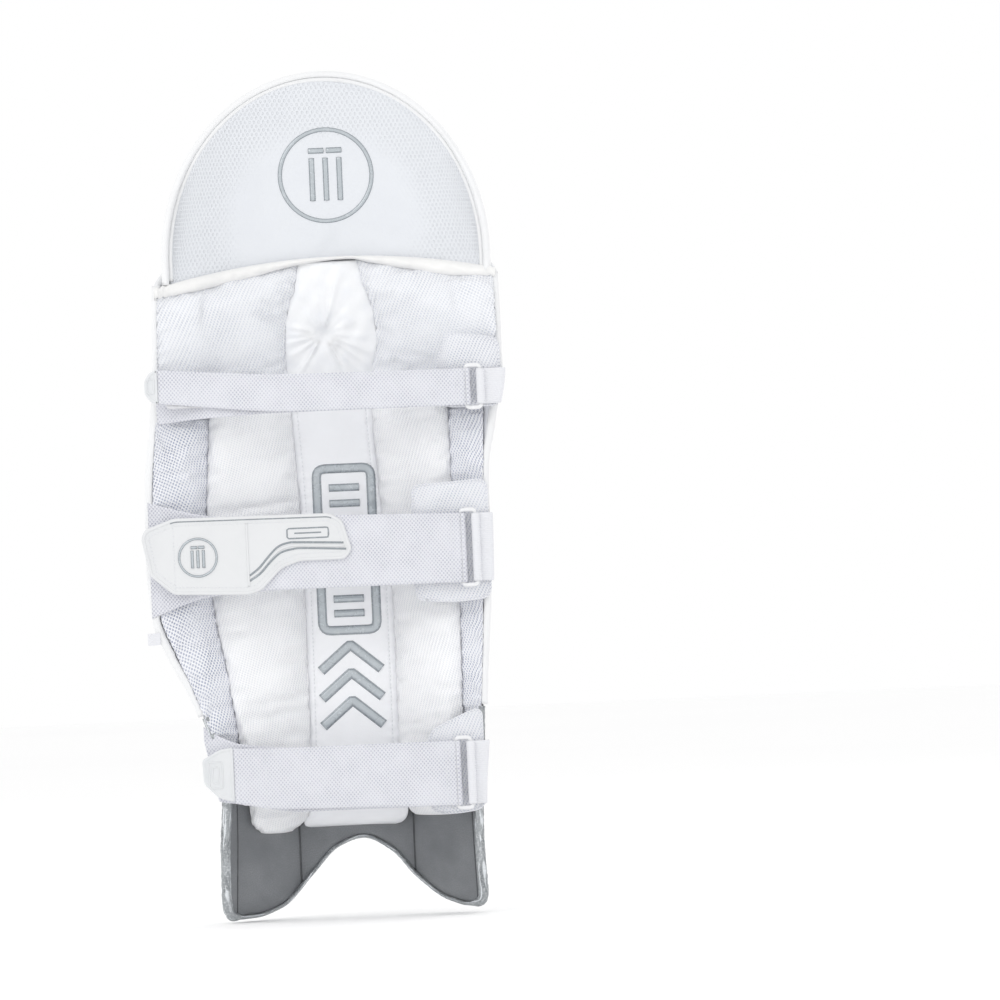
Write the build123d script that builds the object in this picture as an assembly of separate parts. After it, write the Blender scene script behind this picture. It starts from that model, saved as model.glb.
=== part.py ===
"""Left-leg cricket batting pad, strapped to the front of the shin, knee and lower thigh.

Frame, in millimetres: +Z up the leg, +Y forward (the way the bowler is), +X to the wearer's right.
The origin is on the leg's axis, level with the pad's lowest edge.

The pad is a stack of layers on one curved reference skin. The board lies on the front of the skin,
with the rolls and facings in front of it. The linings, bolsters and wing pads lie on its leg side.
Three straps cross behind the leg. Each runs from the outer wing, through a buckle loop that is held
at the inner wing, and folds back on itself.
"""
from build123d import *
import os

# ---------------------------------------------------------------- overall shape
# Height, outer silhouette, inner silhouette, skin's front at the middle, how far the wings sweep back
LEVELS = (
    (0, -112, 112, 58, 46),
    (60, -111, 109.5, 55, 52),
    (100, -108, 110.5, 53, 56),
    (140, -113, 114, 51.5, 57),
    (165, -121, 115.8, 50.5, 57.7),
    (190, -131, 117.5, 50, 58),
    (220, -146, 119.8, 50, 58),
    (250, -157.5, 122.5, 50, 58),
    (300, -161, 124.5, 50, 58),
    (363, -159, 125.5, 50, 58),
    (400, -154.5, 132, 50, 58),
    (450, -149.5, 140.5, 50, 53),
    (526, -146.5, 140, 50, 46),
    (545, -138, 134, 50, 32),
    (700, -138, 134, 56, 32),
)
HEM = 5.8                 # from the silhouette to the edge of the reference skin
EDGE = 2.4                # width of the binding outside the skin's edge
TAPER_FROM = 0.75         # share of the half-width where the layers start to thin
TAPER_TO = 0.4            # their thickness at the wing's edge, as a share
GAP = 0.5                 # between neighbouring pieces

# Arch of the top hat, a half ellipse
ARCH_X, ARCH_Z = -2.0, 545.0
ARCH_HALF_WIDTH, ARCH_HEIGHT = 136.0, 155.0
WELT = 6.5                # width of the welt round the arch

# Cut-out over the boot, from the outer wing's tip to the inner wing's tip
BOOT_ARCH = (
    (-122, 22), (-111, 4), (-86, 1), (-62, 8), (-36, 34), (-14, 56), (8, 63),
    (32, 51), (52, 28), (79, 8), (104, 3), (113, 9), (122, 26),
)
FOOT_BINDING = 6.0

# Sections up the pad
KNEE_FROM, KNEE_TO = 450.0, 541.0
HAT_FROM = 545.0
DARK_TO = 166.0           # top of the dark lining at the boot
SILVER_TO = 178.0         # top of the silver binding on the wings' edges
BINDING_TO = 526.0        # where the wings' white binding meets the top hat
KNEE_BOLSTER_FROM = 433.0

# Layer thicknesses, counted from the reference skin
BOARD = 5.0
FACING = (5.4, 4.5)       # where the wing facings start, and their thickness
LINING = (0.4, 4.0)
PADDING_START = 4.9
ROLL_EDGE, ROLL_DEPTH = 6.0, 23.0
KNEE_ROLL_DEPTH = 34.0
HAT_ROLL_DEPTH = 19.0
HAT_ROLL_EDGES = (-121, -82, -50, -17, 16, 48, 80, 117)
HAT_LINER = 9.5

ROLL_COUNT = 7
ROLL_PITCH = 0.22         # share of the inner half-width
CANE_RADIUS = 2.5
CANE_CLEARANCE = 0.05
CANE_FROM, CANE_TO = 112.0, 440.0
CANE_DEPTH = 14.0         # of the cane's axis in front of the skin

# ---------------------------------------------------------------- straps
BAR_RADIUS = 1.5
STRAP = 2.2               # thickness of the strap fabric
FOLD_INSIDE = 1.6         # inside radius of the fold round the buckle's bar
BAR_Y = -23.8             # both bars of every buckle stand in this plane
BAR_SPACING = 12.0
RAIL = 3.2                # height of a buckle's top and bottom rails
RAIL_DEPTH = 3.4
KEEPER = 1.8              # thickness of the webbing that holds the buckle
HOOK = 2.6
CUSHION_BACK = -19.4
TAB = 3.0


def between(points, z):
    """Linear interpolation in a list of (height, value), held flat past its ends."""
    if z <= points[0][0]:
        return points[0][1]
    for (low, a), (high, b) in zip(points, points[1:]):
        if z <= high:
            return a + (b - a) * (z - low) / (high - low)
    return points[-1][1]


def level(z, column):
    return between([(row[0], row[column]) for row in LEVELS], z)


def outer_edge(z):
    return level(z, 1) + HEM


def inner_edge(z):
    return level(z, 2) - HEM


def half_width(x, z):
    return inner_edge(z) if x > 0 else -outer_edge(z)


def skin_point(x, z, lift):
    """The point at x and z on the skin, lifted along its normal to the front, or along -Y to the leg."""
    half = half_width(x, z)
    share = min(abs(x) / half, 1.0)
    sweep = level(z, 4)
    y = level(z, 3) - sweep * share ** 3
    ease = max(0.0, (share - TAPER_FROM) / (1 - TAPER_FROM))
    lift *= 1 - (1 - TAPER_TO) * ease * ease * (3 - 2 * ease)
    if lift <= 0:
        return (x, y + lift, z)
    slope = -3 * sweep * share ** 2 / half * (1 if x > 0 else -1)
    length = (1 + slope * slope) ** 0.5
    return (x - slope / length * lift, y + lift / length, z)


def section(z, left, right, near, far, points=9):
    """A flat face at height z between two lifts, each a function of the share across.

    The points are evenly spread as shares of the half-width, so neighbouring layers agree.
    """
    low, high = left / half_width(left, z), right / half_width(right, z)
    shares = [i / (points - 1) for i in range(points)]
    xs = []
    for s in shares:
        u = low + (high - low) * s
        xs.append(u * half_width(u, z))
    front = Spline(*[skin_point(x, z, far(s)) for x, s in zip(xs, shares)])
    back = Spline(*[skin_point(x, z, near(s)) for x, s in zip(reversed(xs), reversed(shares))])
    return Face(Wire([front, Line(front @ 1, back @ 0), back, Line(back @ 1, front @ 0)]))


def heights(z_low, z_high, *edges):
    """Every height where the skin or one of the edges has a corner, with both ends."""
    corners = {row[0] for row in LEVELS}
    for edge in edges:
        corners |= {z for z, _ in edge}
    return sorted({z_low, z_high} | {z for z in corners if z_low + 1 < z < z_high - 1})


def layer(left, right, near, far, z_low, z_high):
    """A slab of even thickness on the skin. left and right are lists of (height, x)."""
    points = 21 if between(right, z_low) - between(left, z_low) > 150 else 9
    faces = [
        section(z, between(left, z), between(right, z), lambda s: near, lambda s: far, points)
        for z in heights(z_low, z_high, left, right)
    ]
    return loft(faces, ruled=True)


def pillow(left, right, start, edge, full, z_low, z_high, front=True, end=12.0, crown=2.6):
    """A crowned slab: edge thick along its sides, full in the middle, thinner at both ends."""
    steps = sorted(
        set(heights(z_low, z_high, left, right))
        | {z_low + end * 0.35, z_low + end, z_high - end, z_high - end * 0.35}
    )
    faces = []
    for z in steps:
        away = min(z - z_low, z_high - z)
        swell = 1 - 0.6 * max(0.0, 1 - away / end) ** 2

        def thick(s, swell=swell):
            return start + (edge + (full - edge) * (1 - abs(2 * s - 1) ** crown)) * swell

        if front:
            faces.append(section(z, between(left, z), between(right, z), lambda s: start, thick))
        else:
            faces.append(
                section(z, between(left, z), between(right, z), lambda s: -thick(s), lambda s: -start)
            )
    return loft(faces, ruled=True)


def shifted(edge, by):
    return [(z, x + by) for z, x in edge]


def edge_line(function, inset=0.0):
    return [(row[0], function(row[0]) + inset) for row in LEVELS]


OUTER = edge_line(outer_edge)
INNER = edge_line(inner_edge)


def prism(outline):
    """An outline drawn in X and Z, made solid right through the pad along Y."""
    return extrude(outline, amount=200, both=True)


def in_xz(points):
    return [(x, 0, z) for x, z in points]


def boot_cut(raised=0.0):
    """Everything below the arch over the boot, raised by that much."""
    points = [(x, 0, z + raised) for x, z in BOOT_ARCH]
    curve = Spline(*points)
    floor = -60
    down = Line(points[-1], (points[-1][0], 0, floor))
    along = Line(down @ 1, (points[0][0], 0, floor))
    up = Line(along @ 1, points[0])
    return prism(Face(Wire([curve, down, along, up])))


def hat_arch(inset):
    """Everything inside the top hat's arch, down to well below it."""
    half, top = ARCH_HALF_WIDTH - inset, ARCH_HEIGHT - inset
    dome = Plane.XZ * (Pos(ARCH_X, ARCH_Z) * Ellipse(half, top))
    sides = Plane.XZ * (Pos(ARCH_X, ARCH_Z - 100) * Rectangle(2 * half, 200))
    return prism((dome + sides).face())


def band_top(x):
    """Height of the satin band's top edge on the knee bolsters."""
    return 545.5 - 19.5 * ((x - 8) / 145) ** 2


def below_band(drop):
    """Everything on the knee that is lower than the satin band's top edge by drop."""
    points = [(x, 0, band_top(x) - drop) for x in (-150, -75, 8, 75, 148)]
    curve = Spline(*points)
    floor = 400
    down = Line(points[-1], (points[-1][0], 0, floor))
    along = Line(down @ 1, (points[0][0], 0, floor))
    up = Line(along @ 1, points[0])
    return prism(Face(Wire([curve, down, along, up])))


# ---------------------------------------------------------------- board and front
def boards():
    left, right = shifted(OUTER, 12), shifted(INNER, -12)
    shin = layer(left, right, 0, BOARD, 0, KNEE_FROM - GAP) - boot_cut(FOOT_BINDING + GAP)
    knee = layer(left, right, 0, BOARD, KNEE_FROM, HAT_FROM - GAP)
    hat = layer(OUTER, INNER, 0, BOARD, HAT_FROM, 699) & hat_arch(WELT + GAP)
    return {"shin_board": shin, "knee_board": knee, "top_hat_board": hat}


def roll_edge(index):
    """The line between two shin rolls, as (height, x)."""
    share = (index - ROLL_COUNT / 2) * ROLL_PITCH
    return [(z, x * share) for z, x in INNER]


def boot_height(x):
    return max(0.0, between(BOOT_ARCH, x))


def cane_line(index, offset, top):
    """The two ends of a cane's axis, inside a roll."""
    ends = []
    for z in (CANE_FROM, top):
        x = (between(roll_edge(index), z) + between(roll_edge(index + 1), z)) / 2 + offset
        ends.append(Vector(*skin_point(x, z, CANE_DEPTH)))
    return ends


def rod(ends, radius):
    low, high = ends
    along = high - low
    return extrude(Plane(origin=low, z_dir=along) * Circle(radius), amount=along.length)


def shin_rolls():
    made, canes = {}, []
    for i in range(ROLL_COUNT):
        left, right = shifted(roll_edge(i), GAP / 2), shifted(roll_edge(i + 1), -GAP / 2)
        foot = boot_height((between(left, 30) + between(right, 30)) / 2) + FOOT_BINDING + GAP
        roll = pillow(left, right, FACING[0], ROLL_EDGE, ROLL_DEPTH, foot, KNEE_FROM - GAP, crown=2.2)
        roll -= boot_cut(FOOT_BINDING + GAP)
        if 0 < i < ROLL_COUNT - 1:
            for offset in (-5, 5):
                roll -= rod(cane_line(i, offset, KNEE_FROM + 5), CANE_RADIUS + CANE_CLEARANCE)
                low, high = cane_line(i, offset, KNEE_FROM + 5)
                share = (CANE_TO - CANE_FROM) / (KNEE_FROM + 5 - CANE_FROM)
                canes.append(rod((low, low + (high - low) * share), CANE_RADIUS))
        made[f"shin_roll_{i + 1}"] = roll
    made["cane_rods"] = Compound(children=canes)
    return made


def wing_facings():
    cut = boot_cut(FOOT_BINDING + GAP)
    near, far, top = FACING[0], sum(FACING), KNEE_FROM - GAP
    outer = layer(shifted(OUTER, GAP), shifted(roll_edge(0), -GAP), near, far, 0, top)
    inner = layer(shifted(roll_edge(ROLL_COUNT), GAP), shifted(INNER, -GAP), near, far, 0, top)
    return {"outer_wing_facing": outer - cut, "inner_wing_facing": inner - cut}


def knee_rolls():
    names = ("lower", "middle", "upper")
    tall = (KNEE_TO - KNEE_FROM) / len(names)
    made = {}
    for i, name in enumerate(names):
        low = KNEE_FROM + i * tall + GAP / 2
        high = low + tall - GAP
        middle, half = (low + high) / 2, (high - low) / 2
        faces = []
        for step in (-1, -0.88, -0.6, 0, 0.6, 0.88, 1):
            z = middle + step * half
            depth = FACING[0] + KNEE_ROLL_DEPTH * (0.25 + 0.75 * (1 - step * step) ** 0.5)
            left, right = outer_edge(z) + GAP, inner_edge(z) - GAP
            faces.append(section(z, left, right, lambda s: FACING[0], lambda s, d=depth: d, 21))
        made[f"knee_roll_{name}"] = loft(faces, ruled=True)
    return made


def top_hat_rolls():
    rolls = []
    for left, right in zip(HAT_ROLL_EDGES, HAT_ROLL_EDGES[1:]):
        middle = (left + right) / 2 - ARCH_X
        top = ARCH_Z + (ARCH_HEIGHT - WELT - 3) * (1 - (middle / (ARCH_HALF_WIDTH - WELT)) ** 2) ** 0.5
        sides = [(0, left + GAP / 2)], [(0, right - GAP / 2)]
        roll = pillow(*sides, FACING[0], 4, HAT_ROLL_DEPTH, KNEE_TO + GAP, top, crown=2.2, end=18)
        rolls.append((roll & hat_arch(WELT + 2)).solid())
    return {"top_hat_rolls": Compound(children=rolls)}


# ---------------------------------------------------------------- edges
def edge_strips(z_low, z_high):
    """The two strips that close the wings' edges between those heights."""
    outer = layer(shifted(OUTER, -EDGE), shifted(OUTER, -GAP / 2), -9, 10.5, z_low, z_high)
    inner = layer(shifted(INNER, GAP / 2), shifted(INNER, EDGE), -9, 10.5, z_low, z_high)
    return [outer, inner]


def bindings():
    foot = layer(shifted(OUTER, -EDGE), shifted(INNER, EDGE), -sum(LINING) - 1, sum(FACING) + 1, 0, 75)
    foot = (foot & boot_cut(FOOT_BINDING)) - boot_cut()
    sides = [s - boot_cut(FOOT_BINDING + GAP) for s in edge_strips(0, SILVER_TO)]
    white = edge_strips(SILVER_TO + GAP, BINDING_TO)
    left, right = [(0, ARCH_X - ARCH_HALF_WIDTH)], [(0, ARCH_X + ARCH_HALF_WIDTH)]
    whole = layer(left, right, -6, 13, HAT_FROM, 700) + layer(left, right, -6, 0.5, 520, HAT_FROM)
    welt = (whole & hat_arch(0)) - hat_arch(WELT) - below_band(-GAP)
    return {
        "foot_binding": Compound(children=[*foot.solids(), *[p.solid() for p in sides]]),
        "edge_binding": Compound(children=white),
        "top_hat_welt": welt,
    }


# ---------------------------------------------------------------- leg side
def linings():
    cut = boot_cut(FOOT_BINDING + GAP)
    seams = [
        OUTER,
        [(0, -99), (100, -95), (166, -104)],
        [(0, -45)],
        [(0, 50)],
        [(0, 101), (100, 99), (166, 103)],
        INNER,
    ]
    back, front = -sum(LINING), -LINING[0]
    dark = [
        (layer(shifted(a, GAP / 2), shifted(b, -GAP / 2), back, front, 0, DARK_TO) - cut).solid()
        for a, b in zip(seams, seams[1:])
    ]
    left, right = shifted(OUTER, GAP), shifted(INNER, -GAP)
    shin = layer(left, right, back, front, DARK_TO + GAP, KNEE_FROM - GAP)
    knee = layer(left, right, back, front, KNEE_FROM, BINDING_TO)
    hat = layer(OUTER, INNER, -HAT_LINER, front, BINDING_TO + GAP, 699)
    hat = (hat & hat_arch(WELT + GAP)) - below_band(-GAP)
    return {
        "boot_lining": Compound(children=dark),
        "shin_lining": shin,
        "knee_lining": knee,
        "top_hat_liner": hat,
    }


STRIP_LEFT = [(74, -44), (90, -36), (145, -33), (266, -32), (350, -33.5), (433, -38)]
STRIP_RIGHT = [(74, 44), (90, 46), (145, 41.5), (263, 41.5), (346, 34.5), (433, 30)]
OUTER_BOLSTER = [(72, -82), (150, -90), (202, -97), (269, -107), (336, -108.5), (394, -105), (433, -102)]
INNER_BOLSTER = [(81, 93), (177, 94.5), (256, 95.5), (360, 93), (433, 92.5)]
OUTER_WING_PAD = [(152, -109), (195, -124), (221, -135), (254, -146.5), (340, -149.5), (415, -144)]
INNER_WING_PAD = [(172, 109.5), (218, 112.5), (260, 114.5), (359, 119), (415, 121)]
CUP_LEFT = [(433, -36), (462, -39.5), (490, -38), (507, -34), (523, -29), (545, -24)]
CUP_RIGHT = [(433, 28), (451, 32), (474, 37), (490, 36.5), (504, 34), (521, 28), (545, 21)]


def shin_padding():
    top = KNEE_BOLSTER_FROM - GAP

    def pad(left, right, edge, full, low, high):
        return pillow(shifted(left, GAP / 2), shifted(right, -GAP / 2), PADDING_START, edge, full, low, high,
                      front=False)

    return {
        "outer_shin_bolster": pad(OUTER_BOLSTER, STRIP_LEFT, 7, 23, 72, top),
        "inner_shin_bolster": pad(STRIP_RIGHT, INNER_BOLSTER, 7, 23, 81, top),
        "centre_strip": pad(STRIP_LEFT, STRIP_RIGHT, 7, 13, 74, top),
        "outer_wing_pad": pad(OUTER_WING_PAD, OUTER_BOLSTER, 4, 15, 152, 415),
        "inner_wing_pad": pad(INNER_BOLSTER, INNER_WING_PAD, 4, 13, 172, 415),
    }


def knee_padding():
    low, high = KNEE_BOLSTER_FROM, 546
    depth = 22
    left, right = shifted(OUTER, GAP), shifted(INNER, -GAP)
    top = below_band(8)
    band = layer(left, right, -PADDING_START - depth * 0.7, -PADDING_START, 505, 546)
    return {
        "outer_knee_bolster": pillow(
            left, shifted(CUP_LEFT, -GAP), PADDING_START, 9, depth, low, high, front=False) & top,
        "inner_knee_bolster": pillow(
            shifted(CUP_RIGHT, GAP), right, PADDING_START, 9, depth, low, high, front=False) & top,
        "knee_cup": pillow(CUP_LEFT, CUP_RIGHT, PADDING_START, 8, 15, low, high, front=False) & top,
        "bolster_band": (band & below_band(0)) - below_band(8 - GAP),
    }


def side_label():
    return {"side_label": Pos(-156, -12.4, 236) * Box(12, 0.8, 11)}


# ---------------------------------------------------------------- straps
# Each strap: the buckle's inner bar, its centre height and its width there, the free end's left edge,
# the free run's edges as (x, height), the base's flare at the outer wing, the cushion's limits with its
# front face, and the hook patch.
STRAPS = {
    "knee": dict(
        bar_x=109, middle=432.5, width=30, end=-144,
        top=[(-144, 456.5), (-28, 448.8), (109, 447.5)], bottom=[(-144, 429), (-28, 418), (109, 417.5)],
        flare=[(-146.5, 449, 412), (-112, 450, 415)],
        cushion=(86, 136.5, 417, 474, -10.5), hook=(-138, -60),
    ),
    "calf": dict(
        bar_x=100, middle=300.5, width=57, end=-136,
        top=[(-136, 333), (-31, 332), (100, 329)], bottom=[(-136, 274), (-31, 272), (100, 272)],
        flare=[(-157, 348, 253), (-106, 335, 269)],
        cushion=(61, 122, 257, 355, -12.3), hook=(-130, -40),
    ),
    "ankle": dict(
        bar_x=88, middle=115.5, width=53, end=-95,
        top=[(-95, 143.5), (-57, 142.2), (88, 142)], bottom=[(-95, 98), (-57, 92), (88, 89)],
        flare=[(-109, 156, 100), (-88, 149, 97)],
        cushion=(66, 109, 83, 164, -10.6), hook=(-90, -20),
    ),
}
TAB_OUTLINES = {
    "knee": [(-144, 457.5), (-151, 454.5), (-155, 448), (-155, 437.5), (-151, 431.5), (-144, 428)],
    "calf": [
        (-163, 319), (-160, 326), (-136, 334.5), (-7, 333.5), (3, 327), (10, 303), (4, 295), (-33, 295),
        (-48, 290), (-66, 272), (-76, 269), (-138, 271.5), (-157, 288),
    ],
    "ankle": [(-95, 144.5), (-106, 143), (-121, 135), (-120, 115), (-108, 103), (-95, 99)],
}
TAB_CORNER = {"knee": 2.0, "calf": 3.0, "ankle": 3.0}


def strap_outline(top, bottom):
    """The strap's outline in X and Z. top and bottom are lists of (x, height) from left to right."""
    upper = Spline(*in_xz(top))
    lower = Spline(*in_xz(reversed(bottom)))
    return Face(Wire([upper, Line(upper @ 1, lower @ 0), lower, Line(lower @ 1, upper @ 0)]))


def plate(outline, y_back, y_front):
    return extrude(outline.moved(Location((0, y_front, 0))), amount=y_front - y_back, dir=(0, -1, 0))


def base_run(name, data):
    """The strap's lower run, from its flare in the outer wing's edge to the tangent of the buckle's bar."""
    centre = BAR_Y + FOLD_INSIDE + STRAP / 2
    (x0, top0, low0), (x1, top1, low1) = data["flare"]
    half = data["width"] / 2
    bar = data["bar_x"]
    seam_y = level(data["middle"], 3) - level(data["middle"], 4) - 9 * TAPER_TO - 2.0 - STRAP / 2
    path = FilletPolyline((x0, seam_y, 0), (x0 + 12, centre, 0), (bar, centre, 0), radius=8)
    ribbon = extrude(make_face(offset(path, STRAP / 2, side=Side.BOTH)), amount=600)
    top = [(x0, top0), (x1, top1), (-40, data["middle"] + half), (bar, data["middle"] + half)]
    bottom = [(x0, low0), (x1, low1), (-40, data["middle"] - half), (bar, data["middle"] - half)]
    edges = in_xz(top + bottom[::-1])
    outline = make_face(Polyline(*edges, close=True))
    return (ribbon & prism(outline)).solid()


def fold(data):
    """Half a turn of strap round the inner bar."""
    ring = Circle(FOLD_INSIDE + STRAP) - Circle(FOLD_INSIDE)
    half = ring & (Pos(10, 0) * Rectangle(20, 20))
    width = data["width"]
    return Pos(data["bar_x"] + 0.02, BAR_Y, data["middle"] - width / 2) * extrude(half, amount=width)


def buckle(data):
    """A rectangular loop: two round bars and two flat rails."""
    tall = data["width"] + 1.6
    low = data["middle"] - tall / 2 - RAIL / 2
    x0, x1 = data["bar_x"], data["bar_x"] + BAR_SPACING
    made = None
    for x in (x0, x1):
        bar = Pos(x, BAR_Y, low) * extrude(Circle(BAR_RADIUS), amount=tall + RAIL)
        made = bar if made is None else made + bar
    reach = 3.2
    for z in (low, low + tall + RAIL):
        rail = Pos((x0 + x1) / 2, BAR_Y, z) * Box(BAR_SPACING + 2 * reach, RAIL_DEPTH, RAIL)
        rail = fillet(rail.edges().filter_by(Axis.Y), RAIL * 0.45)
        made = made + rail
    return made.solid()


def keeper(data):
    """Webbing looped round the outer bar, run to the inner wing's edge and turned round it."""
    width = data["width"] - 1
    z0 = data["middle"] - width / 2
    x1 = data["bar_x"] + BAR_SPACING
    inside = BAR_RADIUS + 0.15
    ring = Circle(inside + KEEPER) - Circle(inside)
    y = BAR_Y + inside + KEEPER / 2
    far = max(level(z0, 2), level(z0 + width, 2)) + 0.9
    path = FilletPolyline((x1 + 1.0, y, 0), (far, y, 0), (far, y + 15, 0), radius=3)
    ribbon = extrude(make_face(offset(path, KEEPER / 2, side=Side.BOTH)), amount=width)
    ribbon = Pos(0, 0, z0) * ribbon
    loop = Pos(x1, BAR_Y, z0) * extrude(ring, amount=width)
    bore = Pos(x1, BAR_Y, z0 - 1) * extrude(Circle(inside), amount=width + 2)
    return ((ribbon + loop) - bore).solid()


def cushion(data):
    """A soft plate between the buckle and the leg."""
    left, right, low, high, front = data["cushion"]
    body = Pos((left + right) / 2, (CUSHION_BACK + front) / 2, (low + high) / 2) * Box(
        right - left, front - CUSHION_BACK, high - low)
    return fillet(body.edges(), 2.8).solid()


def tab(name):
    """The moulded end of the strap. The calf strap's lies on the strap as a badge."""
    outline = make_face(Polyline(*in_xz(TAB_OUTLINES[name]), close=True))
    face_y = BAR_Y - FOLD_INSIDE
    if name == "calf":
        front = face_y - STRAP - 0.05
        back = front - TAB
    else:
        front = face_y + 0.4
        back = front - TAB
    body = plate(outline, back, front)
    uprights = [
        e for e in body.edges().filter_by(Axis.Y)
        if not (name != "calf" and abs(e.center().X - STRAPS[name]["end"]) < 0.1)
    ]
    body = fillet(uprights, TAB_CORNER[name])
    rim = body.faces().sort_by(Axis.Y)[0]
    body = chamfer(rim.edges(), 0.6)
    return body.solid()


def straps():
    made = {}
    for name, data in STRAPS.items():
        half = data["width"] / 2
        back = BAR_Y - FOLD_INSIDE - STRAP
        end = data["end"] if name == "calf" else data["end"] + 0.1
        top = [(end, data["top"][0][1]), *data["top"][1:]]
        bottom = [(end, data["bottom"][0][1]), *data["bottom"][1:]]
        made[f"{name}_strap_base"] = base_run(name, data)
        made[f"{name}_strap_fold"] = fold(data)
        made[f"{name}_strap_end"] = plate(strap_outline(top, bottom), back, back + STRAP)
        hook_left, hook_right = data["hook"]
        hook = Pos((hook_left + hook_right) / 2, BAR_Y - FOLD_INSIDE + HOOK / 2, data["middle"]) * Box(
            hook_right - hook_left, HOOK, data["width"] - 14)
        made[f"{name}_hook_patch"] = hook
        made[f"{name}_tab"] = tab(name)
        made[f"{name}_buckle"] = buckle(data)
        made[f"{name}_keeper"] = keeper(data)
        made[f"{name}_cushion"] = cushion(data)
    return made


def main():
    os.makedirs("parts", exist_ok=True)
    nodes = {}
    for section_of in (boards, shin_rolls, wing_facings, knee_rolls, top_hat_rolls, bindings, linings,
                       shin_padding, knee_padding, side_label, straps):
        nodes.update(section_of())
    for name, shape in nodes.items():
        export_step(shape, f"parts/{name}.step")
    print(len(nodes), "nodes")


main()
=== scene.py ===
import math

import bmesh
import bpy
import numpy as np
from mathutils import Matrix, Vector
from mathutils.bvhtree import BVHTree


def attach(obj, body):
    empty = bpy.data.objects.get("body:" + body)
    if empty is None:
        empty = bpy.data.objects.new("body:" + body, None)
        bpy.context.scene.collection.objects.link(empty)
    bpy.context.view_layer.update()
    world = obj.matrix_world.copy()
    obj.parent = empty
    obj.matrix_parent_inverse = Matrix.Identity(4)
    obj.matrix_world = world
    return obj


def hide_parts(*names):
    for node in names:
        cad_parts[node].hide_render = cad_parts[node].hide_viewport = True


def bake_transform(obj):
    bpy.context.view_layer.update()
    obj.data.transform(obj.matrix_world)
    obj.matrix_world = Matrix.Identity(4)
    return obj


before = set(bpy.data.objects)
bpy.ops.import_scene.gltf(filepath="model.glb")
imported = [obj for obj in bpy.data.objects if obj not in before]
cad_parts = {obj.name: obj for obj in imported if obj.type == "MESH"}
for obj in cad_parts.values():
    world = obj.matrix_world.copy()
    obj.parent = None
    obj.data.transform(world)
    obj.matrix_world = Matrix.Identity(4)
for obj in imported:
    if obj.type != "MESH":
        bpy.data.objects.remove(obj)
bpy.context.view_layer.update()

MM = 0.001
TINY = 1e-9

# ---------------------------------------------------------------- the pad's reference skin, in millimetres
# Height, outer silhouette, inner silhouette, skin's front at the middle, how far the wings sweep back
LEVELS = np.array([
    (0, -112, 112, 58, 46),
    (60, -111, 109.5, 55, 52),
    (100, -108, 110.5, 53, 56),
    (140, -113, 114, 51.5, 57),
    (165, -121, 115.8, 50.5, 57.7),
    (190, -131, 117.5, 50, 58),
    (220, -146, 119.8, 50, 58),
    (250, -157.5, 122.5, 50, 58),
    (300, -161, 124.5, 50, 58),
    (363, -159, 125.5, 50, 58),
    (400, -154.5, 132, 50, 58),
    (450, -149.5, 140.5, 50, 53),
    (526, -146.5, 140, 50, 46),
    (545, -138, 134, 50, 32),
    (700, -138, 134, 56, 32),
], float)
HEM = 5.8
TAPER_FROM, TAPER_TO = 0.75, 0.4
ARCH_X, ARCH_Z, ARCH_HALF_WIDTH, ARCH_HEIGHT = -2.0, 545.0, 136.0, 155.0
BOOT_ARCH = np.array([
    (-122, 22), (-111, 4), (-86, 1), (-62, 8), (-36, 34), (-14, 56), (8, 63),
    (32, 51), (52, 28), (79, 8), (104, 3), (113, 9), (122, 26),
], float)
KNEE_LOW, KNEE_HIGH, HAT_LOW = 450.0, 541.0, 545.0
BOLSTER_TOP = 432.5
DARK_TOP = 166.0
SILVER_TOP = 171.0
ROLLS, ROLL_PITCH = 7, 0.22

STRIP_LEFT = [(74, -44), (90, -36), (145, -33), (266, -32), (350, -33.5), (433, -38)]
STRIP_RIGHT = [(74, 44), (90, 46), (145, 41.5), (263, 41.5), (346, 34.5), (433, 30)]
OUTER_BOLSTER = [(72, -82), (150, -90), (202, -97), (269, -107), (336, -108.5), (394, -105), (433, -102)]
INNER_BOLSTER = [(81, 93), (177, 94.5), (256, 95.5), (360, 93), (433, 92.5)]
OUTER_WING_PAD = [(152, -111), (195, -127), (221, -138), (254, -149.5), (340, -152.5), (415, -147)]
INNER_WING_PAD = [(172, 110), (218, 113.2), (260, 115.4), (359, 119.8), (415, 122)]
CUP_LEFT = [(433, -36), (462, -39.5), (490, -38), (507, -34), (523, -29), (545, -24)]
CUP_RIGHT = [(433, 28), (451, 32), (474, 37), (490, 36.5), (504, 34), (521, 28), (545, 21)]
TACK = (-7.0, 481.0)

BAR_Y, BAR_RADIUS, BAR_SPACING = -23.8, 1.5, 12.0
FOLD_INSIDE, STRAP = 1.6, 2.2
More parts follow.
